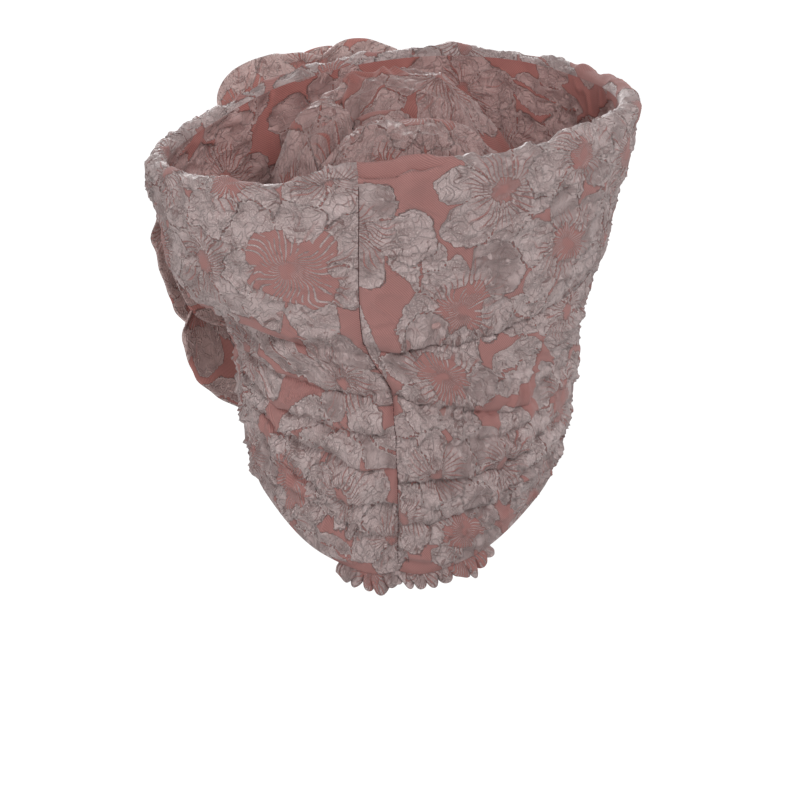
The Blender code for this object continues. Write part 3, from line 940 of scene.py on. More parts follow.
class Amount:
    """A number that changes over a surface, as a shader's nodes work it out with +, - and *."""

    def __init__(self, wire: "Wiring", socket: Socket) -> None:
        """Takes the number from a socket."""
        self.wire = wire
        self.socket = socket

    def __add__(self, other: object) -> "Amount":
        """This and another."""
        return self.wire.sum("ADD", self, other)

    def __sub__(self, other: object) -> "Amount":
        """This less another."""
        return self.wire.sum("SUBTRACT", self, other)

    def __rsub__(self, other: object) -> "Amount":
        """Another less this."""
        return self.wire.sum("SUBTRACT", other, self)

    def __mul__(self, other: object) -> "Amount":
        """This times another."""
        return self.wire.sum("MULTIPLY", self, other)


class Wiring:
    """Adds shader nodes to a tree and joins them."""

    def __init__(self, tree: bpy.types.NodeTree) -> None:
        """Starts in a node tree."""
        self.tree = tree

    def node(self, kind: str, **settings: object) -> bpy.types.Node:
        """A new node.

        Args:
            kind: The node's type.
            settings: Its own settings.

        Returns:
            The node.
        """
        made = self.tree.nodes.new(kind)
        for name, value in settings.items():
            setattr(made, name, value)
        return made

    def feed(self, node: bpy.types.Node, values: dict[str | int, object]) -> None:
        """Joins a node's inputs to other outputs, or gives them values.

        Args:
            node: The node to feed.
            values: What goes to each of its inputs.
        """
        for name, value in values.items():
            value = value.socket if isinstance(value, Amount) else value
            if isinstance(value, bpy.types.NodeSocket):
                self.tree.links.new(value, node.inputs[name])
            else:
                node.inputs[name].default_value = value

    def amount(
        self, kind: str, output: str | int, values: dict[str | int, object], **settings: object
    ) -> Amount:
        """The output of a new node.

        Args:
            kind: The node's type.
            output: Which output.
            values: What goes to its inputs.
            settings: The node's own settings.

        Returns:
            The output, to work on with.
        """
        made = self.node(kind, **settings)
        self.feed(made, values)
        return Amount(self, made.outputs[output])

    def sum(self, operation: str, *values: object) -> Amount:
        """A number worked out from others."""
        return self.amount("ShaderNodeMath", 0, dict(enumerate(values)), operation=operation)

    def step(self, value: Amount, low: float, high: float) -> Amount:
        """0 below low, 1 above high, and a smooth step between them."""
        values = {"Value": value, "From Min": low, "From Max": high}
        return self.amount("ShaderNodeMapRange", "Result", values, interpolation_type="SMOOTHSTEP")

    def band(self, value: Amount, rise: tuple[float, float], fall: tuple[float, float]) -> Amount:
        """1 between two smooth steps, and 0 on both sides of them."""
        return self.step(value, *rise) * (1 - self.step(value, *fall))

    def noise(self, place: Socket, scale: float, detail: float = 0.0, bend: float = 0.0) -> Amount:
        """Cloudy values from 0 to 1 at a scale in waves per unit."""
        values = {"Vector": place, "Scale": scale, "Detail": detail, "Distortion": bend}
        return self.amount("ShaderNodeTexNoise", "Fac", values, noise_dimensions="2D")

    def mix(self, share: Amount, first: object, second: object) -> Amount:
        """A colour between two others."""
        values = {"Factor": share, "A": first, "B": second}
        return self.amount("ShaderNodeMix", "Result", values, data_type="RGBA")

    def split(self, place: Socket) -> tuple[Amount, ...]:
        """A place taken apart.

        Args:
            place: A vector.

        Returns:
            Its three numbers.
        """
        parts = self.node("ShaderNodeSeparateXYZ")
        self.feed(parts, {0: place})
        return tuple(Amount(self, socket) for socket in parts.outputs)

    def group(self, tree: bpy.types.NodeTree, values: dict[str, object]) -> tuple[Amount, ...]:
        """A shared group, placed here and fed.

        Args:
            tree: The group.
            values: What goes to each of its inputs.

        Returns:
            Its outputs, in their order.
        """
        placed = self.node("ShaderNodeGroup", node_tree=tree)
        self.feed(placed, values)
        return tuple(Amount(self, socket) for socket in placed.outputs)


def node_group(name: str, inputs: tuple[tuple[str, str], ...], outputs: tuple[str, ...]) -> tuple:
    """A new shader node group with named sockets.

    Args:
        name: The group's name.
        inputs: Each input's name and socket type.
        outputs: Names of the values that it puts out.

    Returns:
        The group's wiring, its input node and its output node.
    """
    tree = bpy.data.node_groups.new(name, "ShaderNodeTree")
    for label, kind in inputs:
        tree.interface.new_socket(label, in_out="INPUT", socket_type=kind)
    for label in outputs:
        tree.interface.new_socket(label, in_out="OUTPUT", socket_type="NodeSocketFloat")
    return Wiring(tree), tree.nodes.new("NodeGroupInput"), tree.nodes.new("NodeGroupOutput")


def new_material(name: str) -> tuple[bpy.types.Material, bpy.types.Node, Wiring]:
    """A new material.

    Args:
        name: Its name.

    Returns:
        The material, its shader and the wiring of its nodes.
    """
    material = bpy.data.materials.new(name)
    material.use_nodes = True
    return material, material.node_tree.nodes["Principled BSDF"], Wiring(material.node_tree)


@dataclass(frozen=True)
class MotifLines:
    """Where the raised motifs lie, with their ragged edges, fine threads and slits, and the painted shadow
    and highlight lines round them.

    Each pair is the start and the end of a smooth step: edges are in millimetres inside a motif,
    threads and slits in turns between two rays, and their ends in shares of a blossom's reach.
    """

    jag_scale: float = 620.0
    jag: float = 2.2
    rays: int = 34
    sway_scale: float = 48.0
    sway: float = 3.0
    broken_scale: float = 170.0
    broken: tuple[float, float] = (0.38, 0.44)
    thread: tuple[float, float] = (0.10, 0.18)
    thread_start: tuple[float, float] = (0.05, 0.12)
    thread_end: tuple[float, float] = (0.70, 0.85)
    slit: tuple[float, float] = (0.34, 0.44)
    slit_end: tuple[float, float] = (0.30, 0.62)
    ragged_scale: float = 70.0
    ragged: float = 0.9
    face: tuple[float, float] = (-0.10, 0.14)
    # Where the painted shadow line round each motif lies, on the ground side.
    shadow_line_start: tuple[float, float] = (-0.75, -0.05)
    shadow_line_end: tuple[float, float] = (0.0, 0.35)
    # Where the painted highlight line inside each motif's rim lies.
    rim_highlight_start: tuple[float, float] = (0.05, 0.25)
    rim_highlight_end: tuple[float, float] = (0.35, 0.80)

    def group(self) -> bpy.types.NodeTree:
        """The group that finds them from the woven places.

        Returns:
            The group. Silver is 1 on a motif and on the threads that cross its bare middle; the
            second output is a dark line of painted shadow round it and the third a bright line of painted
            highlight inside that.
        """
        wire, given, made = node_group(
            "brocade_motifs",
            (("Cloth", "NodeSocketVector"), ("Silk", "NodeSocketFloat"), ("Bloom", "NodeSocketVector")),
            ("Silver", "Outline", "Edge"),
        )
        cloth, silk, bloom = given.outputs["Cloth"], given.outputs["Silk"], given.outputs["Bloom"]
        edge = (wire.noise(cloth, self.jag_scale, 3.0) - 0.5) * self.jag + silk
        x, y, _ = wire.split(bloom)
        away = wire.sum("SQRT", x * x + y * y)
        sway = wire.noise(cloth, self.sway_scale, 1.0) * self.sway
        rays = wire.sum("ARCTAN2", y, x) * (self.rays / math.tau) + sway
        line = wire.sum("ABSOLUTE", wire.sum("FRACT", rays) - 0.5)
        whole = wire.step(wire.noise(cloth, self.broken_scale, 2.0), *self.broken)
        thread = (1 - wire.step(line, *self.thread)) * wire.band(away, self.thread_start, self.thread_end)
        ragged = (wire.noise(cloth, self.ragged_scale, 1.0) - 0.5) * self.ragged
        slits = wire.step(line, *self.slit) * (1 - wire.step(away + ragged, *self.slit_end))
        petal = wire.step(edge, *self.face) * (1 - slits)
        wire.feed(made, {
            "Silver": wire.sum("MAXIMUM", petal, thread * whole),
            "Outline": wire.band(edge, self.shadow_line_start, self.shadow_line_end),
            "Edge": wire.band(edge, self.rim_highlight_start, self.rim_highlight_end),
        })
        return wire.tree


@dataclass(frozen=True)
class Weave:
    """Fine wrinkles, painted glints and twill of the cloth.

    Scales are in waves per metre, periods in metres, and each wrinkle is a scale, a bend and a width.
    """

    ridge: tuple[float, float, float] = (165.0, 0.5, 0.036)
    valley: tuple[float, float, float] = (105.0, 0.8, 0.022)
    grain_scale: float = 1100.0
    # The scale and thresholds of the specks where glints are painted.
    glint_scale: float = 1500.0
    painted_highlight: tuple[float, float] = (0.60, 0.72)
    rib_period: float = 0.0012
    step_period: float = 0.0008
    step_share: float = 0.35

    def group(self) -> bpy.types.NodeTree:
        """The group that works them out at places on the cloth.

        Returns:
            The group. Ridge and Valley are thin wrinkles, Grain is fine specks of tone, the fourth
            output marks specks where glints are painted, and Twill is the ribs of the ground.
        """
        wire, given, made = node_group(
            "brocade_weave",
            (("Cloth", "NodeSocketVector"),),
            ("Ridge", "Valley", "Grain", "Sparkle", "Twill"),
        )
        cloth = given.outputs["Cloth"]

        def crest(scale: float, bend: float, width: float) -> Amount:
            """Thin wandering lines."""
            off = wire.sum("ABSOLUTE", wire.noise(cloth, scale, 1.0, bend) - 0.5)
            return 1 - wire.step(off, 0.0, width)

        x, y, _ = wire.split(cloth)
        ribs = wire.sum("SINE", (y - x) * (math.tau / self.rib_period))
        steps = wire.sum("SINE", (y + x) * (math.tau / self.step_period))
        wire.feed(made, {
            "Ridge": crest(*self.ridge),
            "Valley": crest(*self.valley),
            "Grain": wire.noise(cloth, self.grain_scale, 2.0),
            "Sparkle": wire.step(wire.noise(cloth, self.glint_scale, 1.0), *self.painted_highlight),
            "Twill": ribs + steps * self.step_share,
        })
        return wire.tree


@dataclass(frozen=True)
class Brocade:
    """The crinkled jacquard: satin motifs on a matt twill ground, with painted highlights, glints and shade
    in its colour.

    Each pair is a value for bright petals and how much of it dull petals lose.
    """

    name: str
    ground: tuple[float, float, float] = (0.400, 0.190, 0.175)
    silk: tuple[float, float, float] = (0.565, 0.437, 0.427)
    # The satin's dark end. It carries the own tone of dull petals and cloudy patches, and painted shade in
    # the crinkle valleys.
    silk_dark: tuple[float, float, float] = (0.305, 0.215, 0.208)
    # The pale colour of painted glints and painted rim highlights.
    painted_highlight: tuple[float, float, float] = (0.72, 0.62, 0.60)
    # The dark colour of painted shadow lines round the motifs and of painted shade in the crinkle valleys.
    shadow_line: tuple[float, float, float] = (0.170, 0.070, 0.062)
    ground_shades: tuple[float, float] = (0.80, 1.22)
    twill_share: float = 0.42
    cloud_scale: float = 75.0
    clouds: float = 1.8
    light: tuple[float, float] = (0.60, 0.22)
    grain_light: tuple[float, float] = (1.1, 0.7)
    # Painted glints, for bright petals and what dull petals lose.
    glint_specks: tuple[float, float] = (0.75, 0.55)
    # Painted shade in the crinkle valleys, for bright petals and what dull petals lose.
    creases: tuple[float, float] = (0.50, 0.25)
    # Lightness added for painted highlights on crinkle ridges and motif rims, and taken away for painted
    # shade in the crinkle valleys.
    ridge_highlight: float = 0.85
    rim_highlight: float = 0.40
    valley_shade: float = 0.34
    # How far motif rims are mixed to painted highlight, and below, how far the lines round motifs are mixed
    # to painted shadow.
    rim_highlight_share: float = 0.35
    shadow_line_share: float = 0.34
    puff: float = 0.30
    ridge_rise: tuple[float, float] = (0.60, 0.20)
    edge_rise: float = 0.20
    valley_drop: float = 0.16
    grain_rise: float = 0.10
    twill_rise: float = 0.06
    silk_rough: float = 0.46
    ground_rough: float = 0.88
    sheen: float = 0.15
    sheen_rough: float = 0.5

    def material(self, groups: dict[str, bpy.types.NodeTree]) -> bpy.types.Material:
        """The finish as a material.

        Args:
            groups: The shared groups of motifs and weave.

        Returns:
            The material.
        """
        material, shader, wire = new_material(self.name)
        cloth = wire.node("ShaderNodeUVMap", uv_map="cloth").outputs[0]
        silk = wire.node("ShaderNodeAttribute", attribute_name="silk").outputs["Fac"]
        bloom = wire.node("ShaderNodeAttribute", attribute_name="bloom").outputs["Vector"]
        silver, shadow_line, edge = wire.group(groups["motifs"], {"Cloth": cloth, "Silk": silk, "Bloom": bloom})
        ridge, valley, grain, glint_specks, twill = wire.group(groups["weave"], {"Cloth": cloth})
        dull = wire.step(wire.split(bloom)[2], -0.15, -0.50)

        def on_petals(values: tuple[float, float]) -> Amount:
            """A value that dull petals lose some of."""
            return dull * -values[1] + values[0]

        # The satin's lightness: its own tone by petal, cloud and grain, with painted highlight on crinkle
        # ridges and motif rims and painted shade in the crinkle valleys.
        light = on_petals(self.light) + (wire.noise(cloth, self.cloud_scale, 2.0) - 0.5) * self.clouds
        light = light + (grain - 0.5) * on_petals(self.grain_light) + ridge * self.ridge_highlight
        light = light + edge * self.rim_highlight - valley * self.valley_shade
        satin = wire.mix(wire.step(light, 0.0, 1.0), (*self.silk_dark, 1.0), (*self.silk, 1.0))
        # Painted glints: specks of the satin turned to a pale highlight colour.
        satin = wire.mix(glint_specks * on_petals(self.glint_specks), satin, (*self.painted_highlight, 1.0))
        # Painted shade: the crinkle valleys darkened towards the dark line colour.
        satin = wire.mix(valley * on_petals(self.creases), satin, (*self.shadow_line, 1.0))
        # Painted highlight: a pale line just inside each raised motif's rim.
        satin = wire.mix(edge * self.rim_highlight_share, satin, (*self.painted_highlight, 1.0))
        dark, pale = (tuple(share * value for value in self.ground) for share in self.ground_shades)
        ground = wire.mix(twill * self.twill_share + 0.5, (*dark, 1.0), (*pale, 1.0))
        colour = wire.mix(silver, ground, satin)
        # Painted shadow: a dark line round each raised motif.
        colour = wire.mix(shadow_line * self.shadow_line_share, colour, (*self.shadow_line, 1.0))
        stand = ridge * on_petals(self.ridge_rise) + self.puff + edge * self.edge_rise
        stand = stand - valley * self.valley_drop + grain * self.grain_rise
        height = silver * stand + twill * self.twill_rise
        relief = {"Strength": 1.0, "Distance": MILLIMETRE, "Height": height}
        wire.feed(shader, {
            "Base Color": colour,
            "Roughness": self.ground_rough - silver * (self.ground_rough - self.silk_rough),
            "Sheen Weight": self.sheen,
            "Sheen Roughness": self.sheen_rough,
            "Normal": wire.amount("ShaderNodeBump", "Normal", relief),
        })
        return material


@dataclass(frozen=True)
class PlainTwill:
    """The plain rose twill of the head part's lining."""

    dark: tuple[float, float, float] = (0.420, 0.235, 0.215)
    pale: tuple[float, float, float] = (0.500, 0.290, 0.270)
    rough: float = 0.8

    def material(self, groups: dict[str, bpy.types.NodeTree]) -> bpy.types.Material:
        """The finish as a material.

        Args:
            groups: The shared groups of motifs and weave.

        Returns:
            The material.
        """
        material, shader, wire = new_material("plain_lining")
        cloth = wire.node("ShaderNodeUVMap", uv_map="cloth").outputs[0]
        twill = wire.group(groups["weave"], {"Cloth": cloth})[-1]
        colour = wire.mix(twill * 0.2 + 0.5, (*self.dark, 1.0), (*self.pale, 1.0))
        wire.feed(shader, {"Base Color": colour, "Roughness": self.rough})
        return material


@dataclass
class Wrap:
    """The wrap itself: the outer cloth from hem to rim, the ring's lining and the head part's lining."""

    wall: Wall
    loom: Loom
    finish: bpy.types.Material
    # The ring lining's finish is a copy of the brocade with painted shade and painted warm bounce light.
    inside: bpy.types.Material
    plain_lining: bpy.types.Material
    columns: int = 566
    crowding: float = 0.20
    head_rows: int = 80
    ring_rows: int = 76
    rim_rows: int = 12
    hem_rows: int = 7
    hem_heights: tuple[float, float] = (0.07, 0.035)
    lining_rows: int = 84
    lining_start: float = 0.118
    head_lining_rows: int = 60
    head_lining_columns: int = 240
    girth: float = 0.105
    crown_foot: float = 1.10
    lining_foot: float = 0.02
    lining_gap: float = 0.0018
    hem_gap: float = 0.0004
    deepest: float = 0.0034
    seam_calm: float = 0.0024
    weave_calm: float = 0.0012
    pillows: tuple[Wave, ...] = (Wave(0.026, 0.0085, 0.0015, 51), Wave(0.013, 0.0060, 0.00075, 52))
    tucks: tuple[Wave, ...] = (
        Wave(0.030, 0.0125, -0.0024, 53, 0.20),
        Wave(0.014, 0.011, -0.00144, 55, 0.22),
    )
    ring_tucks: float = 11 / 24
    upright: Wave = Wave(0.018, 0.040, 0.0011, 54)
    pulls: Wave = Wave(0.0068, 0.022, 0.0018, 56)
    puckers: tuple[Wave, ...] = (Wave(0.009, 0.035, 0.0012, 57), Wave(0.015, 0.045, -0.0014, 58, 0.25))

    def turns(self, height: Array) -> tuple[Array, Array]:
        """Turns of a round of columns that starts and ends at the seam, denser at the back.

        Args:
            height: Each row's height.

        Returns:
            The turns in rows and columns, and the same measured from the seam.
        """
        even = np.linspace(0.0, math.tau, self.columns + 1)
        from_seam = even - self.crowding * np.sin(even)
        turn = self.wall.seam_turn(height)[:, None] + from_seam
        return turn, np.broadcast_to(from_seam, turn.shape)

    def off_seam(self, from_seam: Array, width: float) -> Array:
        """0 on the seam and 1 from about two widths off it, with the width in metres."""
        return 1 - bump(np.sin(from_seam / 2) * 2 * self.girth / width)

    def crumple(self, flat: Array, height: Array, from_seam: Array) -> Array:
        """How far the worn cloth stands out and in between its gathers.

        Args:
            flat: Places on the flat cloth.
            height: Their heights on the wall.
            from_seam: Their turns from the seam.

        Returns:
            The way out in metres, which is 0 along the hem and the seam.
        """
        on_head = 1 - ease(height, 0.98, 1.22)
        tucks = together(self.tucks, flat)
        head = np.maximum(together(self.pillows, flat) + tucks, -self.deepest)
        by_rim = ease(height, 1.55, 1.95)
        ring = self.upright.at(flat) + self.ring_tucks * tucks + by_rim * self.pulls.at(flat)
        calm = self.off_seam(from_seam, self.seam_calm) * ease(height, 0.0, 0.05)
        return calm * (on_head * head + (1 - on_head) * ring)

    def outer_cloth(self) -> bpy.types.Object:
        """The outer cloth, from inside the hem over the outer face and over the rim.

        Returns:
            The piece, which stands for the wrap_shell node.
        """
        head = np.linspace(0.0, 1.0, self.head_rows, endpoint=False)
        swings = np.linspace(0.0, math.pi, self.rim_rows + 1)[1:]
        heights = np.concatenate((head, np.linspace(1.0, 2.0, self.ring_rows), np.full(self.rim_rows, 2.0)))
        turn, from_seam = self.turns(heights)
        high = np.broadcast_to(heights[:, None], turn.shape)
        wall, rim = slice(0, self.head_rows + self.ring_rows), slice(-self.rim_rows, None)
        swung = np.broadcast_to(swings[:, None], turn[rim].shape)
        rolled = self.wall.rim(turn[rim], swung)
        smooth = np.concatenate((self.wall.plain(turn[wall], high[wall]), rolled))
        points = np.concatenate((self.wall.outer(turn[wall], high[wall]), rolled))
        up = arc_lengths(smooth, 0)
        flat = np.stack((from_seam * self.girth, up - up[self.head_rows]), axis=-1)
        tucked = np.ones_like(turn)
        tucked[rim] = 1 - ease(swung, 2.0, 3.1)
        weave = self.loom.depth(flat) * self.off_seam(from_seam, self.weave_calm) * ease(high, 0.0, 0.03)
        worn = tucked * (self.crumple(flat, high, from_seam) + weave)
        grid = ClothGrid(points, flat).raised(worn)
        hem = self.hem_turn(grid, turn[0])
        made = self.loom.piece("outer_cloth", [(hem, False), (grid, False)], self.finish)
        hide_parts("wrap_shell")
        return made

    def hem_turn(self, grid: ClothGrid, turn: Array) -> ClothGrid:
        """The cloth folded in under the hem, up to where the lining covers it.

        Args:
            grid: The outer cloth, whose first row is the hem's edge.
            turn: That row's turns.

        Returns:
            The fold, whose last row is the hem's edge.
        """
        edge, inner = grid.points[0], self.wall.inner(turn, np.zeros_like(turn))
        middle, away = (edge + inner) / 2, (edge - inner) / 2
        below = np.array((0.0, 0.0, -1.0)) * np.linalg.norm(away, axis=-1, keepdims=True)
        rows = [self.wall.inner(turn, np.full(turn.shape, height)) for height in self.hem_heights]
        for swing in np.linspace(math.pi, 0.0, self.hem_rows):
            rows.append(middle + away * math.cos(swing) + below * math.sin(swing))
        points = np.stack(rows)
        down = arc_lengths(points, 0)
        across = np.broadcast_to(grid.flat[0, :, 0], down.shape)
        return ClothGrid(points, np.stack((across, grid.flat[0, :, 1] + down - down[-1]), axis=-1))

    def ring_lining(self) -> bpy.types.Object:
        """The same cloth down the ring's inner face.

        Returns:
            The piece, from the rim to below the crown's seam.
        """
        heights = np.linspace(2.0, self.crown_foot, self.lining_rows)
        turn, from_seam = self.turns(heights)
        high = np.broadcast_to(heights[:, None], turn.shape)
        points = self.wall.inner(turn, high)
        flat = np.stack((from_seam * self.girth, self.lining_start + arc_lengths(points, 0)), axis=-1)
        calm = ease(2.0 - high, 0.0, 0.05)
        grid = ClothGrid(points, flat).raised(together(self.puckers, flat) * calm)
        grid = grid.raised(self.loom.depth(flat) * calm)
        # Its finish is the brocade copy with painted shade and painted warm bounce light.
        made = self.loom.piece("ring_lining", [(grid, False)], self.inside)
        return made

    def head_lining(self) -> bpy.types.Object:
        """The plain lining of the head part.

        Returns:
            The piece, from the crown's seam to just above the hem.
        """
        heights = np.linspace(self.crown_foot, self.lining_foot, self.head_lining_rows)
        even = np.linspace(0.0, math.tau, self.head_lining_columns + 1)
        turn = self.wall.seam_turn(heights)[:, None] + even
        high = np.broadcast_to(heights[:, None], turn.shape)
        gap = self.hem_gap + self.lining_gap * ease(high, 0.06, 0.25)
        points = self.wall.inner(turn, high, gap)
        flat = np.stack((np.broadcast_to(even * self.girth, turn.shape), arc_lengths(points, 0)), axis=-1)
        made = self.loom.piece("head_lining", [(ClothGrid(points, flat), False)], self.plain_lining)
        return made

    def build(self) -> None:
        """The outer cloth and both linings."""
        self.outer_cloth()
        self.ring_lining()
        self.head_lining()


@dataclass
class Stitches:
    """The stitches that show along the centre-back seam."""

    wall: Wall
    length: float = 0.0021
    width: float = 0.0005
    every: float = 0.017
    first: float = 0.06
    last: float = 1.99
    sunk: float = 0.4
    segments: int = 8
    rings: int = 6
    rose: tuple[float, float, float] = (0.075, 0.028, 0.026)
    rough: float = 0.7

    def build(self) -> bpy.types.Object:
        """All the stitches as one piece.

        Returns:
            The piece, which rides on the frame.
        """
        heights = np.arange(self.first, self.last, self.every)
        turns, higher = self.wall.seam_turn(heights), heights + self.wall.step
        on_seam = self.wall.outer(turns, heights)
        points = on_seam + self.wall.out(turns, heights) * self.width * self.sunk
        ahead = self.wall.outer(self.wall.seam_turn(higher), higher) - on_seam
        bpy.ops.object.select_all(action="DESELECT")
        made = []
        for point, along in zip(points, ahead):
            bpy.ops.mesh.primitive_uv_sphere_add(segments=self.segments, ring_count=self.rings, radius=1.0)
            stitch = bpy.context.active_object
            stitch.scale = (self.width / 2, self.width / 2, self.length / 2)
            stitch.rotation_euler = Vector(along).to_track_quat("Z", "Y").to_euler()
            stitch.location = Vector(point)
            made.append(stitch)
        for stitch in made:
            stitch.select_set(True)
        bpy.context.view_layer.objects.active = made[0]
        bpy.ops.object.join()
        bpy.ops.object.transform_apply(location=True, rotation=True, scale=True)
        bpy.ops.object.shade_smooth()
        whole = bpy.context.active_object
        whole.name = "seam_stitches"
        thread, shader, wire = new_material("seam_thread")
        wire.feed(shader, {"Base Color": (*self.rose, 1.0), "Roughness": self.rough})
        whole.data.materials.append(thread)
        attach(whole, "root")
        LOG.info("%s: %d stitches", whole.name, len(made))
        return whole


@dataclass
class Crown:
    """The crown cloth, puffed into mounds inside the ring."""

    wall: Wall
    loom: Loom
    finish: bpy.types.Material
    peak: float = field(init=False)
    floor: float = 0.004
    span: float = 0.080
    cloth: float = 0.0020
    fullness: float = 2.8
    sharpness: float = 7.0
    seam_height: float = 1.22
    sewn_gap: float = 0.0003
    steepest: float = 2.0
    crease: float = 0.0080
    crease_width: float = 0.0045
    weave_share: float = 0.9
    relief_share: float = 0.9
    weave_shift: float = 0.045
    weave_blur: int = 20
    dimple_x: float = 0.026
    dimple_y: float = -0.030
    dimple_depth: float = 0.0050
    dimple_width: float = 0.006
    rays: int = 11
    ray_depth: float = 0.0013
    ray_middle: float = 0.016
    ray_width: float = 0.014
    folds: tuple[Wave, ...] = (Wave(0.024, 0.013, 0.0023, 61), Wave(0.034, 0.019, -0.0032, 62, 0.45))
    columns: int = 300
    rows: int = 150

    def __post_init__(self) -> None:
        """Takes the crown's peak from the frame."""
        self.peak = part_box("crown_puff")[1].z

    def lift(self, x: Array, y: Array, floor: Array) -> Array:
        """How far the mounds stand above the crown's floor.

        Args:
            x: Places to the wearer's left.
            y: Places to the back.
            floor: The floor's Z at each place.

        Returns:
            The lift in metres, with creases where the mounds meet.
        """
        merged, tallest, second = np.zeros_like(x), np.zeros_like(x), np.zeros_like(x)
        for aside, behind, wide, deep, peak, turned in zip(*CROWN_MOUNDS.values()):
            cosine, sine = math.cos(math.radians(turned)), math.sin(math.radians(turned))
            east, north = x - self.span * aside, y - self.span * behind
            along = (east * cosine + north * sine) / (self.span * wide)
            athwart = (north * cosine - east * sine) / (self.span * deep)
            away = np.minimum(np.hypot(along, athwart), 1.0)
            mound = (self.peak * peak - floor) * (1 - away**self.fullness)
            merged += mound**self.sharpness
            second = np.maximum(second, np.minimum(mound, tallest))
            tallest = np.maximum(tallest, mound)
        valley = self.crease * np.exp(-(tallest - second) / self.crease_width) * ease(second, 0.004, 0.03)
        return np.maximum(merged ** (1 / self.sharpness) - valley, 0.0)

    def face(self, turn: Array, share: Array, under: bool) -> Array:
        """The upper or the under face.

        Args:
            turn: Turns from the centre back.
            share: 0 in the middle and 1 at the edge that is sewn to the ring's inner face.
            under: Whether it is the under face.

        Returns:
            A point for each place.
        """
        edge = self.wall.inner(turn, np.full(turn.shape, self.seam_height), self.sewn_gap)
        x, y = edge[..., 0] * share, edge[..., 1] * share
        floor = self.floor + (edge[..., 2] - self.floor) * share**2
        level = floor + self.lift(x, y, floor)
        if under:
            step = self.cloth
            slope_x = (self.lift(x + step, y, floor) - self.lift(x - step, y, floor)) / (2 * step)
            slope_y = (self.lift(x, y + step, floor) - self.lift(x, y - step, floor)) / (2 * step)
            level = level - self.cloth * np.hypot(1.0, np.minimum(np.hypot(slope_x, slope_y), self.steepest))
        return np.stack((x, y, level), axis=-1)

    def dimple(self, points: Array) -> Array:
        """How far the cloth stands out round the dimple where its pleats are drawn together.

        Args:
            points: Points of the upper face.

        Returns:
            The way out in metres.
        """
        x, y = points[..., 0] - self.dimple_x, points[..., 1] - self.dimple_y
        away, angle = np.hypot(x, y), np.arctan2(y, x)
        rays = np.cos(angle * self.rays + 2 * ripple(away / 0.012, angle * 2, 63))
        rays = self.ray_depth * rays * bump((away - self.ray_middle) / self.ray_width)
        return rays - self.dimple_depth * bump(away / self.dimple_width)

    def build(self) -> bpy.types.Object:
        """The crown as one piece with its two faces.

        Returns:
            The piece, which stands for the crown_puff node.
        """
        even, shares = np.linspace(0.0, math.tau, self.columns + 1), np.linspace(0.0, 1.0, self.rows + 1)
        turn, share = np.meshgrid(even, shares)
        upper, under = self.face(turn, share, False), self.face(turn, share, True)
        out, shifts = arc_lengths(upper, 0), range(-self.weave_blur, self.weave_blur + 1)
        spread = sum(np.roll(out[:, :-1], shift, axis=1) for shift in shifts) / len(shifts)
        spread = np.concatenate((spread, spread[:, :1]), axis=1) * self.weave_share
        flat = np.stack((spread * np.sin(turn) + self.weave_shift, spread * np.cos(turn)), axis=-1)
        calm = ease(share, 0.0, 0.04) * ease(1 - share, 0.0, 0.04)
        grid = ClothGrid(upper, flat).raised((self.dimple(upper) + together(self.folds, flat)) * calm, -1.0)
        grid = grid.raised(self.loom.depth(flat) * self.relief_share * calm, -1.0)
        side = ClothGrid(np.stack((grid.points[-1], under[-1])), np.stack((flat[-1], flat[-1])))
        parts = [(grid, True), (ClothGrid(under, flat), False), (side, True)]
        made = self.loom.piece("crown_cloth", parts, self.finish)
        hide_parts("crown_puff")
        return made


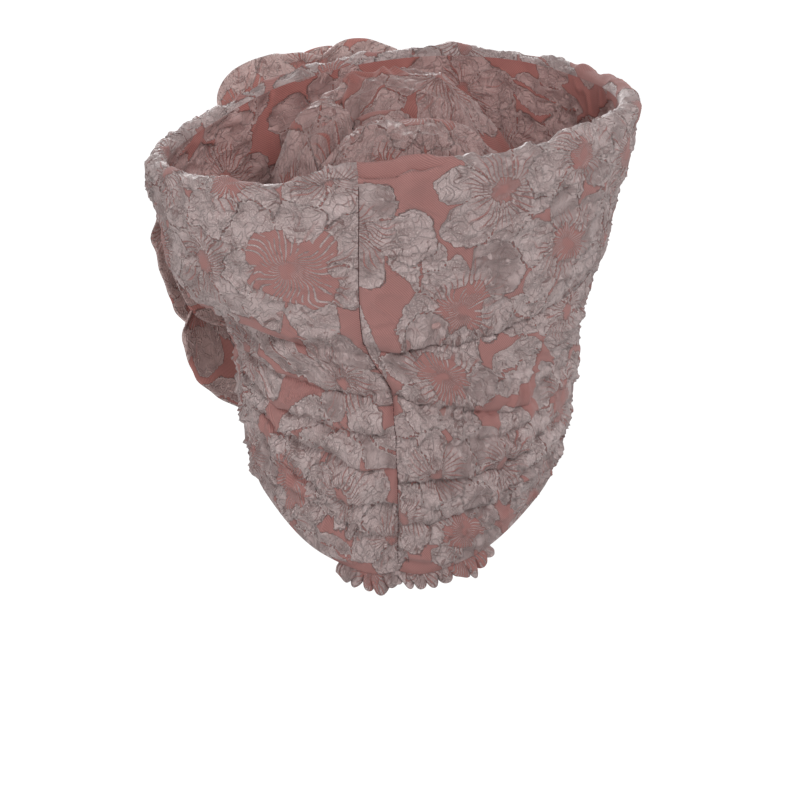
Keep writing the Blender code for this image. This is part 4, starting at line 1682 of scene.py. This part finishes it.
@dataclass
class Flower:
    """The cloth flower on the front of the ring, on the wearer's left."""

    wall: Wall
    loom: Loom
    finish: bpy.types.Material
    turn: float = math.radians(156)
    height: float = 1.36
    reach: float = 0.101
    bud_radius: float = 0.017
    bud_stem: float = 0.023
    bud_rise: float = 0.018
    stem_share: float = 0.42
    bud_turns: float = 3.2
    bud_fold: float = 0.0045
    step: float = 0.0042
    overlap: float = 0.0036
    bend: float = 0.240
    root_share: float = 0.55
    corner: float = 0.20
    closing: float = math.radians(118)
    pleats: int = 12
    pleat_depth: float = 0.0012
    cloth: float = 0.0020
    gap: float = 0.0003
    ruffle: float = 0.0026
    wave: float = 0.0012
    pulls: float = 0.0011
    root_gathers: int = 15
    gather_depth: float = 0.0006
    edge_roll: float = 0.035
    root_roll: float = 0.03
    weave_share: float = 0.55
    weave_across: float = 0.083
    weave_up: float = 0.047
    across: int = 84
    along: int = 64

    def __post_init__(self) -> None:
        """Works out the flower's own axes on the ring's wall."""
        turn, height = np.array([self.turn]), np.array([self.height])
        self.out = self.wall.out(turn, height)[0]
        self.aside = np.cross((0.0, 0.0, 1.0), self.out)
        self.aside /= np.linalg.norm(self.aside)
        self.up = np.cross(self.out, self.aside)
        self.base = self.wall.outer(turn, height)[0]

    def placed(self, local: Array) -> Array:
        """Points of the flower's own frame in the cap's frame."""
        in_plane = local[..., :1] * self.aside + local[..., 1:2] * self.up
        return self.base + in_plane + local[..., 2:] * self.out

    def petal_face(self, i: int, across: Array, along: Array) -> Array:
        """A petal's middle surface.

        Args:
            i: The petal's row in the table.
            across: Places across it from -1 to 1.
            along: Places along it from 0 at its root to 1.

        Returns:
            Points in the flower's own frame.
        """
        reach = self.reach * PETALS["reach"][i]
        rise = self.step * PETALS["lift"][i] * math.pi / 2 / self.reach
        root = self.bud_radius + self.gap + self.cloth / 2 * rise / math.hypot(1.0, rise)
        half = math.radians(PETALS["spread"][i]) / 2
        radius = root + (reach * (1 - self.corner * np.abs(across) ** 4) - root) * along
        narrow = self.root_share + (1 - self.root_share) * np.sin(along * self.closing)
        angle = math.radians(PETALS["round"][i]) + across * half * narrow
        tuck = -self.overlap * across * narrow * half
        outward = (radius - root) / self.reach
        cup = np.sin(np.minimum(1.0, outward) * math.pi / 2) * PETALS["lift"][i]
        pleat = self.pleat_depth * np.cos(angle * self.pleats) * outward
        x = radius * np.sin(angle)
        level = self.step * (PETALS["seat"][i] + cup) + tuck + pleat - x**2 / (2 * self.bend)
        return np.stack((x, radius * np.cos(angle), level), axis=-1)

    def crumple(self, i: int, across: Array, along: Array, flat: Array) -> Array:
        """How far a petal's ruffles, waves and pulled threads stand out.

        Args:
            i: The petal's row in the table.
            across: Places across it from -1 to 1.
            along: Places along it from 0 at its root to 1.
            flat: The same places on the flat cloth.

        Returns:
            The way out in metres.
        """
        from_edge = np.minimum(1 - np.abs(across), 1 - along)
        near_edge = 1 - ease(from_edge, 0.0, 0.35)
        shift = near_edge * Wave(0.009, 0.014, self.ruffle, 70 + i).at(flat)
        shift = shift + Wave(0.018, 0.030, self.wave, 90 + i).at(flat)
        shift = shift + self.pulls * ripple(across * 7.0, along * 1.2, 130 + i)
        gathered = np.cos(across * self.root_gathers + 2.0 * ripple(along * 3, across * 2, 110 + i))
        gathered = gathered * (1 - ease(along, 0.1, 0.6)) * ease(along, 0.0, 0.1)
        return ease(along, 0.0, 0.25) * shift + self.gather_depth * gathered

    def petal(self, i: int) -> bpy.types.Object:
        """One petal: cloth folded double, with a rolled and ruffled edge.

        Args:
            i: The petal's row in the table.

        Returns:
            The piece, which stands for the petal's node.
        """
        name, centre = str(PETALS["name"][i]), (self.along // 2, self.across // 2)
        sideways = np.sin(np.linspace(-math.pi / 2, math.pi / 2, self.across + 1))
        across, along = np.meshgrid(sideways, np.linspace(0.0, 1.0, self.along + 1) ** 0.85)
        middle = self.placed(self.petal_face(i, across, along))
        sidelong = arc_lengths(middle, 1)
        sidelong = sidelong - sidelong[:, centre[1]][:, None] + self.weave_across * i
        flat = np.stack((sidelong, arc_lengths(middle, 0) + self.weave_up * i), axis=-1)
        normal = ClothGrid(middle, flat).normals(1.0)
        facing = float(np.sum(normal[centre] * self.out)) > 0
        normal = normal if facing else -normal
        middle = middle + normal * self.crumple(i, across, along, flat)[..., None]
        from_edge = np.minimum(1 - np.abs(across), 1 - along)
        roll, open_root = rounded(from_edge / self.edge_roll), rounded(along / self.root_roll)
        half = self.cloth / 2 * np.minimum(roll, open_root)[..., None]
        depth = (self.loom.depth(flat) * roll * open_root * self.weave_share)[..., None]
        front = ClothGrid(middle + normal * (half + depth), flat)
        back = ClothGrid(middle - normal * (half + 0.5 * depth), flat)
        made = self.loom.piece(name + "_cloth", [(front, not facing), (back, facing)], self.finish)
        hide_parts(name)
        width = float(arc_lengths(middle, 1)[:, -1].max())
        length = float(arc_lengths(middle, 0)[-1].max())
        area = min(surface_area(middle) / (width * length), 1.0) * width * length
        return made

    def bud(self) -> bpy.types.Object:
        """The bud: a strip of cloth rolled up, whose turns show as a spiral.

        Returns:
            The piece, which stands for the flower_bud node.
        """
        turn, share = np.meshgrid(np.linspace(0, math.tau, 121), np.linspace(0.0, 1.0, 101))
        rising = np.minimum(share / self.stem_share, 1.0)
        inward = np.clip((share - self.stem_share) / (1 - self.stem_share), 0.0, 1.0)
        radius = np.where(share > 0, self.bud_radius * (1 - inward) ** 0.8, 0.0)
        radius = radius * (1 + 0.03 * np.cos(turn * 9) * rising * (1 - inward))
        fold = ((inward * self.bud_turns + turn / math.tau) % 1.0) ** 2
        fold = self.bud_fold * fold * ease(inward, 0.05, 0.2) * ease(1 - inward, 0.0, 0.1)
        level = self.gap + (self.bud_stem - self.gap) * rising + self.bud_rise * np.sin(inward * math.pi / 2)
        local = np.stack((radius * np.sin(turn), radius * np.cos(turn), level - fold), axis=-1)
        points = self.placed(local)
        flat = np.stack((turn * self.bud_radius, arc_lengths(points, 0)), axis=-1)
        calm = ease(share, 0.0, 0.1) * ease(1 - share, 0.0, 0.06)
        grid = ClothGrid(points, flat).raised(self.loom.depth(flat) * 0.6 * calm, -1.0)
        made = self.loom.piece("flower_bud_cloth", [(grid, True)], self.finish)
        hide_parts("flower_bud")
        return made

    def build(self) -> None:
        """The bud and all the petals."""
        self.bud()
        for i in range(len(PETALS["name"])):
            self.petal(i)


@dataclass
class Frill:
    """The scrunched elastic frill that hangs below the hem at the nape."""

    wall: Wall
    loom: Loom
    finish: bpy.types.Material
    drop: float = 0.011
    cloth: float = 0.0024
    wave: float = 0.0026
    waves: int = 8
    fingers: float = 12.0
    bulge: float = 0.0044
    end_drop: float = 0.45
    end_run: float = 0.12
    start: float = math.radians(-37)
    end: float = math.radians(23)
    gap: float = 0.0003
    weave_across: float = 1.6
    weave_up: float = 1.2
    weave_start: float = 0.05
    steps: int = 420
    drops: int = 26

    def build(self) -> bpy.types.Object:
        """The frill as one closed strip.

        Returns:
            The piece, which stands for the nape_frill node.
        """
        shares, drops = np.linspace(0.0, 1.0, self.steps + 1), np.linspace(0.0, 1.0, self.drops + 1)
        share, drop = np.meshgrid(shares, drops)
        turn = self.start + (self.end - self.start) * share
        out = self.wall.out(turn, np.zeros_like(turn))
        out[..., 2] = 0.0
        out /= np.linalg.norm(out, axis=-1, keepdims=True)
        run = share * self.fingers
        finger = (run + 0.8 * ripple(run * 0.55, drop * 0.6, 81)) % 1 * 2 - 1
        round_out = np.sqrt(np.clip(1 - finger**2, 0.0, 1.0))
        slow = 0.35 * self.wave * np.sin(math.tau * self.waves * share)
        wave = (self.bulge * round_out + slow) * ease(drop, -0.15, 0.55) - 0.3 * self.bulge
        to_end = np.minimum(share, 1 - share)
        ends = self.end_drop + (1 - self.end_drop) * np.minimum(1.0, to_end / self.end_run)
        ragged = 0.72 + 0.30 * round_out + 0.34 * ripple(run * 0.7, drop * 0, 82)
        down = self.gap + self.drop * drop * ends * ragged
        roll = rounded(np.minimum(drop, 1 - drop) / 0.12)
        roll = np.minimum(roll, np.sqrt(np.clip(to_end / 0.01, 0.0, 1.0)))
        hem = self.wall.outer(turn, np.zeros_like(turn))
        middle = hem + out * (wave - self.wall.head_cloth / 2)[..., None]
        middle[..., 2] -= down
        half = out * (self.cloth / 2 * roll)[..., None]
        along = share * (self.end - self.start) * self.wall.head_back * self.weave_across
        flat = np.stack((along, down * self.weave_up + self.weave_start), axis=-1)
        front, back = ClothGrid(middle + half, flat), ClothGrid(middle - half, flat)
        made = self.loom.piece("nape_frill_cloth", [(front, True), (back, False)], self.finish)
        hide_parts("nape_frill")
        return made


@dataclass
class Studio:
    """A plain pale floor, soft light and the camera at the photograph's angle."""

    target: Vector = field(default_factory=lambda: Vector((0.0026, 0.0, -0.0862)))
    distance: float = 1.6
    azimuth: float = math.radians(180)
    elevation: float = math.radians(12)
    lens: float = 138.5
    sensor: float = 36.0
    floor_level: float = -1.90
    floor_size: float = 60.0
    floor_pale: float = 0.93
    floor_rough: float = 0.9
    floor_glow: float = 0.80
    sky_light: float = 0.34

    def camera(self) -> None:
        """The camera behind the cap, looking down a little."""
        data = bpy.data.cameras.new("camera")
        data.lens = self.lens
        data.sensor_width = self.sensor
        camera = new_object("camera", data)
        level, aside = math.cos(self.elevation), math.sin(self.azimuth)
        away = Vector((-aside * level, -math.cos(self.azimuth) * level, math.sin(self.elevation)))
        camera.location = self.target + self.distance * away
        camera.rotation_euler = (-away).to_track_quat("-Z", "Y").to_euler()
        bpy.context.scene.camera = camera

    def lamp(self, name: str, place: tuple[float, float, float], size: float, power: float) -> None:
        """A square soft light that faces the cap.

        Args:
            name: Its name.
            place: Where it stands.
            size: The length of its side.
            power: Its power in watts.
        """
        data = bpy.data.lights.new(name, "AREA")
        data.size = size
        data.energy = power
        lamp = new_object(name, data)
        lamp.location = place
        lamp.rotation_euler = (Vector(place) - self.target).to_track_quat("Z", "Y").to_euler()

    def floor(self) -> None:
        """The floor, as far below as under a standing wearer."""
        bpy.ops.object.select_all(action="DESELECT")
        bpy.ops.mesh.primitive_plane_add(size=self.floor_size, location=(0, 0, self.floor_level))
        bpy.ops.object.transform_apply(location=True, rotation=False, scale=False)
        floor = bpy.context.active_object
        floor.name = "floor"
        material, shader, wire = new_material("pale_floor")
        seen = wire.amount("ShaderNodeLightPath", "Is Camera Ray", {})
        wire.feed(shader, {
            "Base Color": (self.floor_pale, self.floor_pale, self.floor_pale, 1.0),
            "Roughness": self.floor_rough,
            "Emission Color": (1.0, 1.0, 1.0, 1.0),
            "Emission Strength": seen * self.floor_glow,
        })
        floor.data.materials.append(material)

    def build(self) -> None:
        """Floor, lights, world and camera."""
        self.floor()
        self.lamp("key", (-0.5, 1.85, 0.85), 0.5, 14.3)
        self.lamp("low", (1.0, 1.7, -0.2), 0.7, 6.0)
        self.lamp("left", (1.9, 0.2, 0.3), 0.7, 7.0)
        self.lamp("top", (-0.5, -0.2, 1.7), 0.8, 3.0)
        self.lamp("front", (0.4, -1.7, 0.7), 0.9, 18.0)
        self.lamp("side", (-1.8, -0.5, 0.6), 0.9, 11.0)
        world = bpy.data.worlds.new("soft_sky")
        bpy.context.scene.world = world
        world.use_nodes = True
        wire = Wiring(world.node_tree)
        seen = wire.amount("ShaderNodeLightPath", "Is Camera Ray", {})
        strength = seen * (1 - self.sky_light) + self.sky_light
        sky = world.node_tree.nodes["Background"]
        wire.feed(sky, {"Color": (1.0, 1.0, 1.0, 1.0), "Strength": strength})
        bpy.context.scene.view_settings.view_transform = "Standard"
        self.camera()


# The outer brocade is the cloth's own colour. The crown, petal and inside copies are the same cloth with
# painted light and shade in their colours.
FINISHES = {
    "outer": Brocade("brocade"),
    # A darker copy of the same brocade for the crown, with painted shade inside the ring.
    "crown": Brocade(
        "brocade_crown_painted_shade",
        ground=(0.350, 0.135, 0.118),
        silk=(0.470, 0.300, 0.285),
        silk_dark=(0.300, 0.175, 0.165),
        painted_highlight=(0.60, 0.46, 0.44),
    ),
    # A paler, pinker copy of the same brocade for the flower, with painted light on petals that the ring
    # shades.
    "petals": Brocade(
        "brocade_petals_painted_light",
        ground=(0.510, 0.215, 0.190),
        silk=(0.690, 0.480, 0.450),
        silk_dark=(0.400, 0.255, 0.240),
    ),
    # A darker, redder copy of the same brocade for the ring's lining, with painted shade and painted warm
    # bounce light inside the ring.
    "inside": Brocade(
        "brocade_inside_painted_shade",
        ground=(0.440, 0.165, 0.145),
        silk=(0.590, 0.370, 0.350),
        silk_dark=(0.350, 0.200, 0.190),
        painted_highlight=(0.66, 0.50, 0.48),
    ),
    "lining": PlainTwill(),
}


def main() -> None:
    """Builds the cap's pieces in order, and the studio."""
    logging.basicConfig(level=logging.INFO, format="%(message)s")
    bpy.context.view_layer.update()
    groups = {"motifs": MotifLines().group(), "weave": Weave().group()}
    made = {name: finish.material(groups) for name, finish in FINISHES.items()}
    loom, wall = Loom(), Wall()
    Wrap(wall, loom, made["outer"], made["inside"], made["lining"]).build()
    Stitches(wall).build()
    Crown(wall, loom, made["crown"]).build()
    Frill(wall, loom, made["outer"]).build()
    Flower(wall, loom, made["petals"]).build()
    Studio().build()


if __name__ == "__main__":
    main()
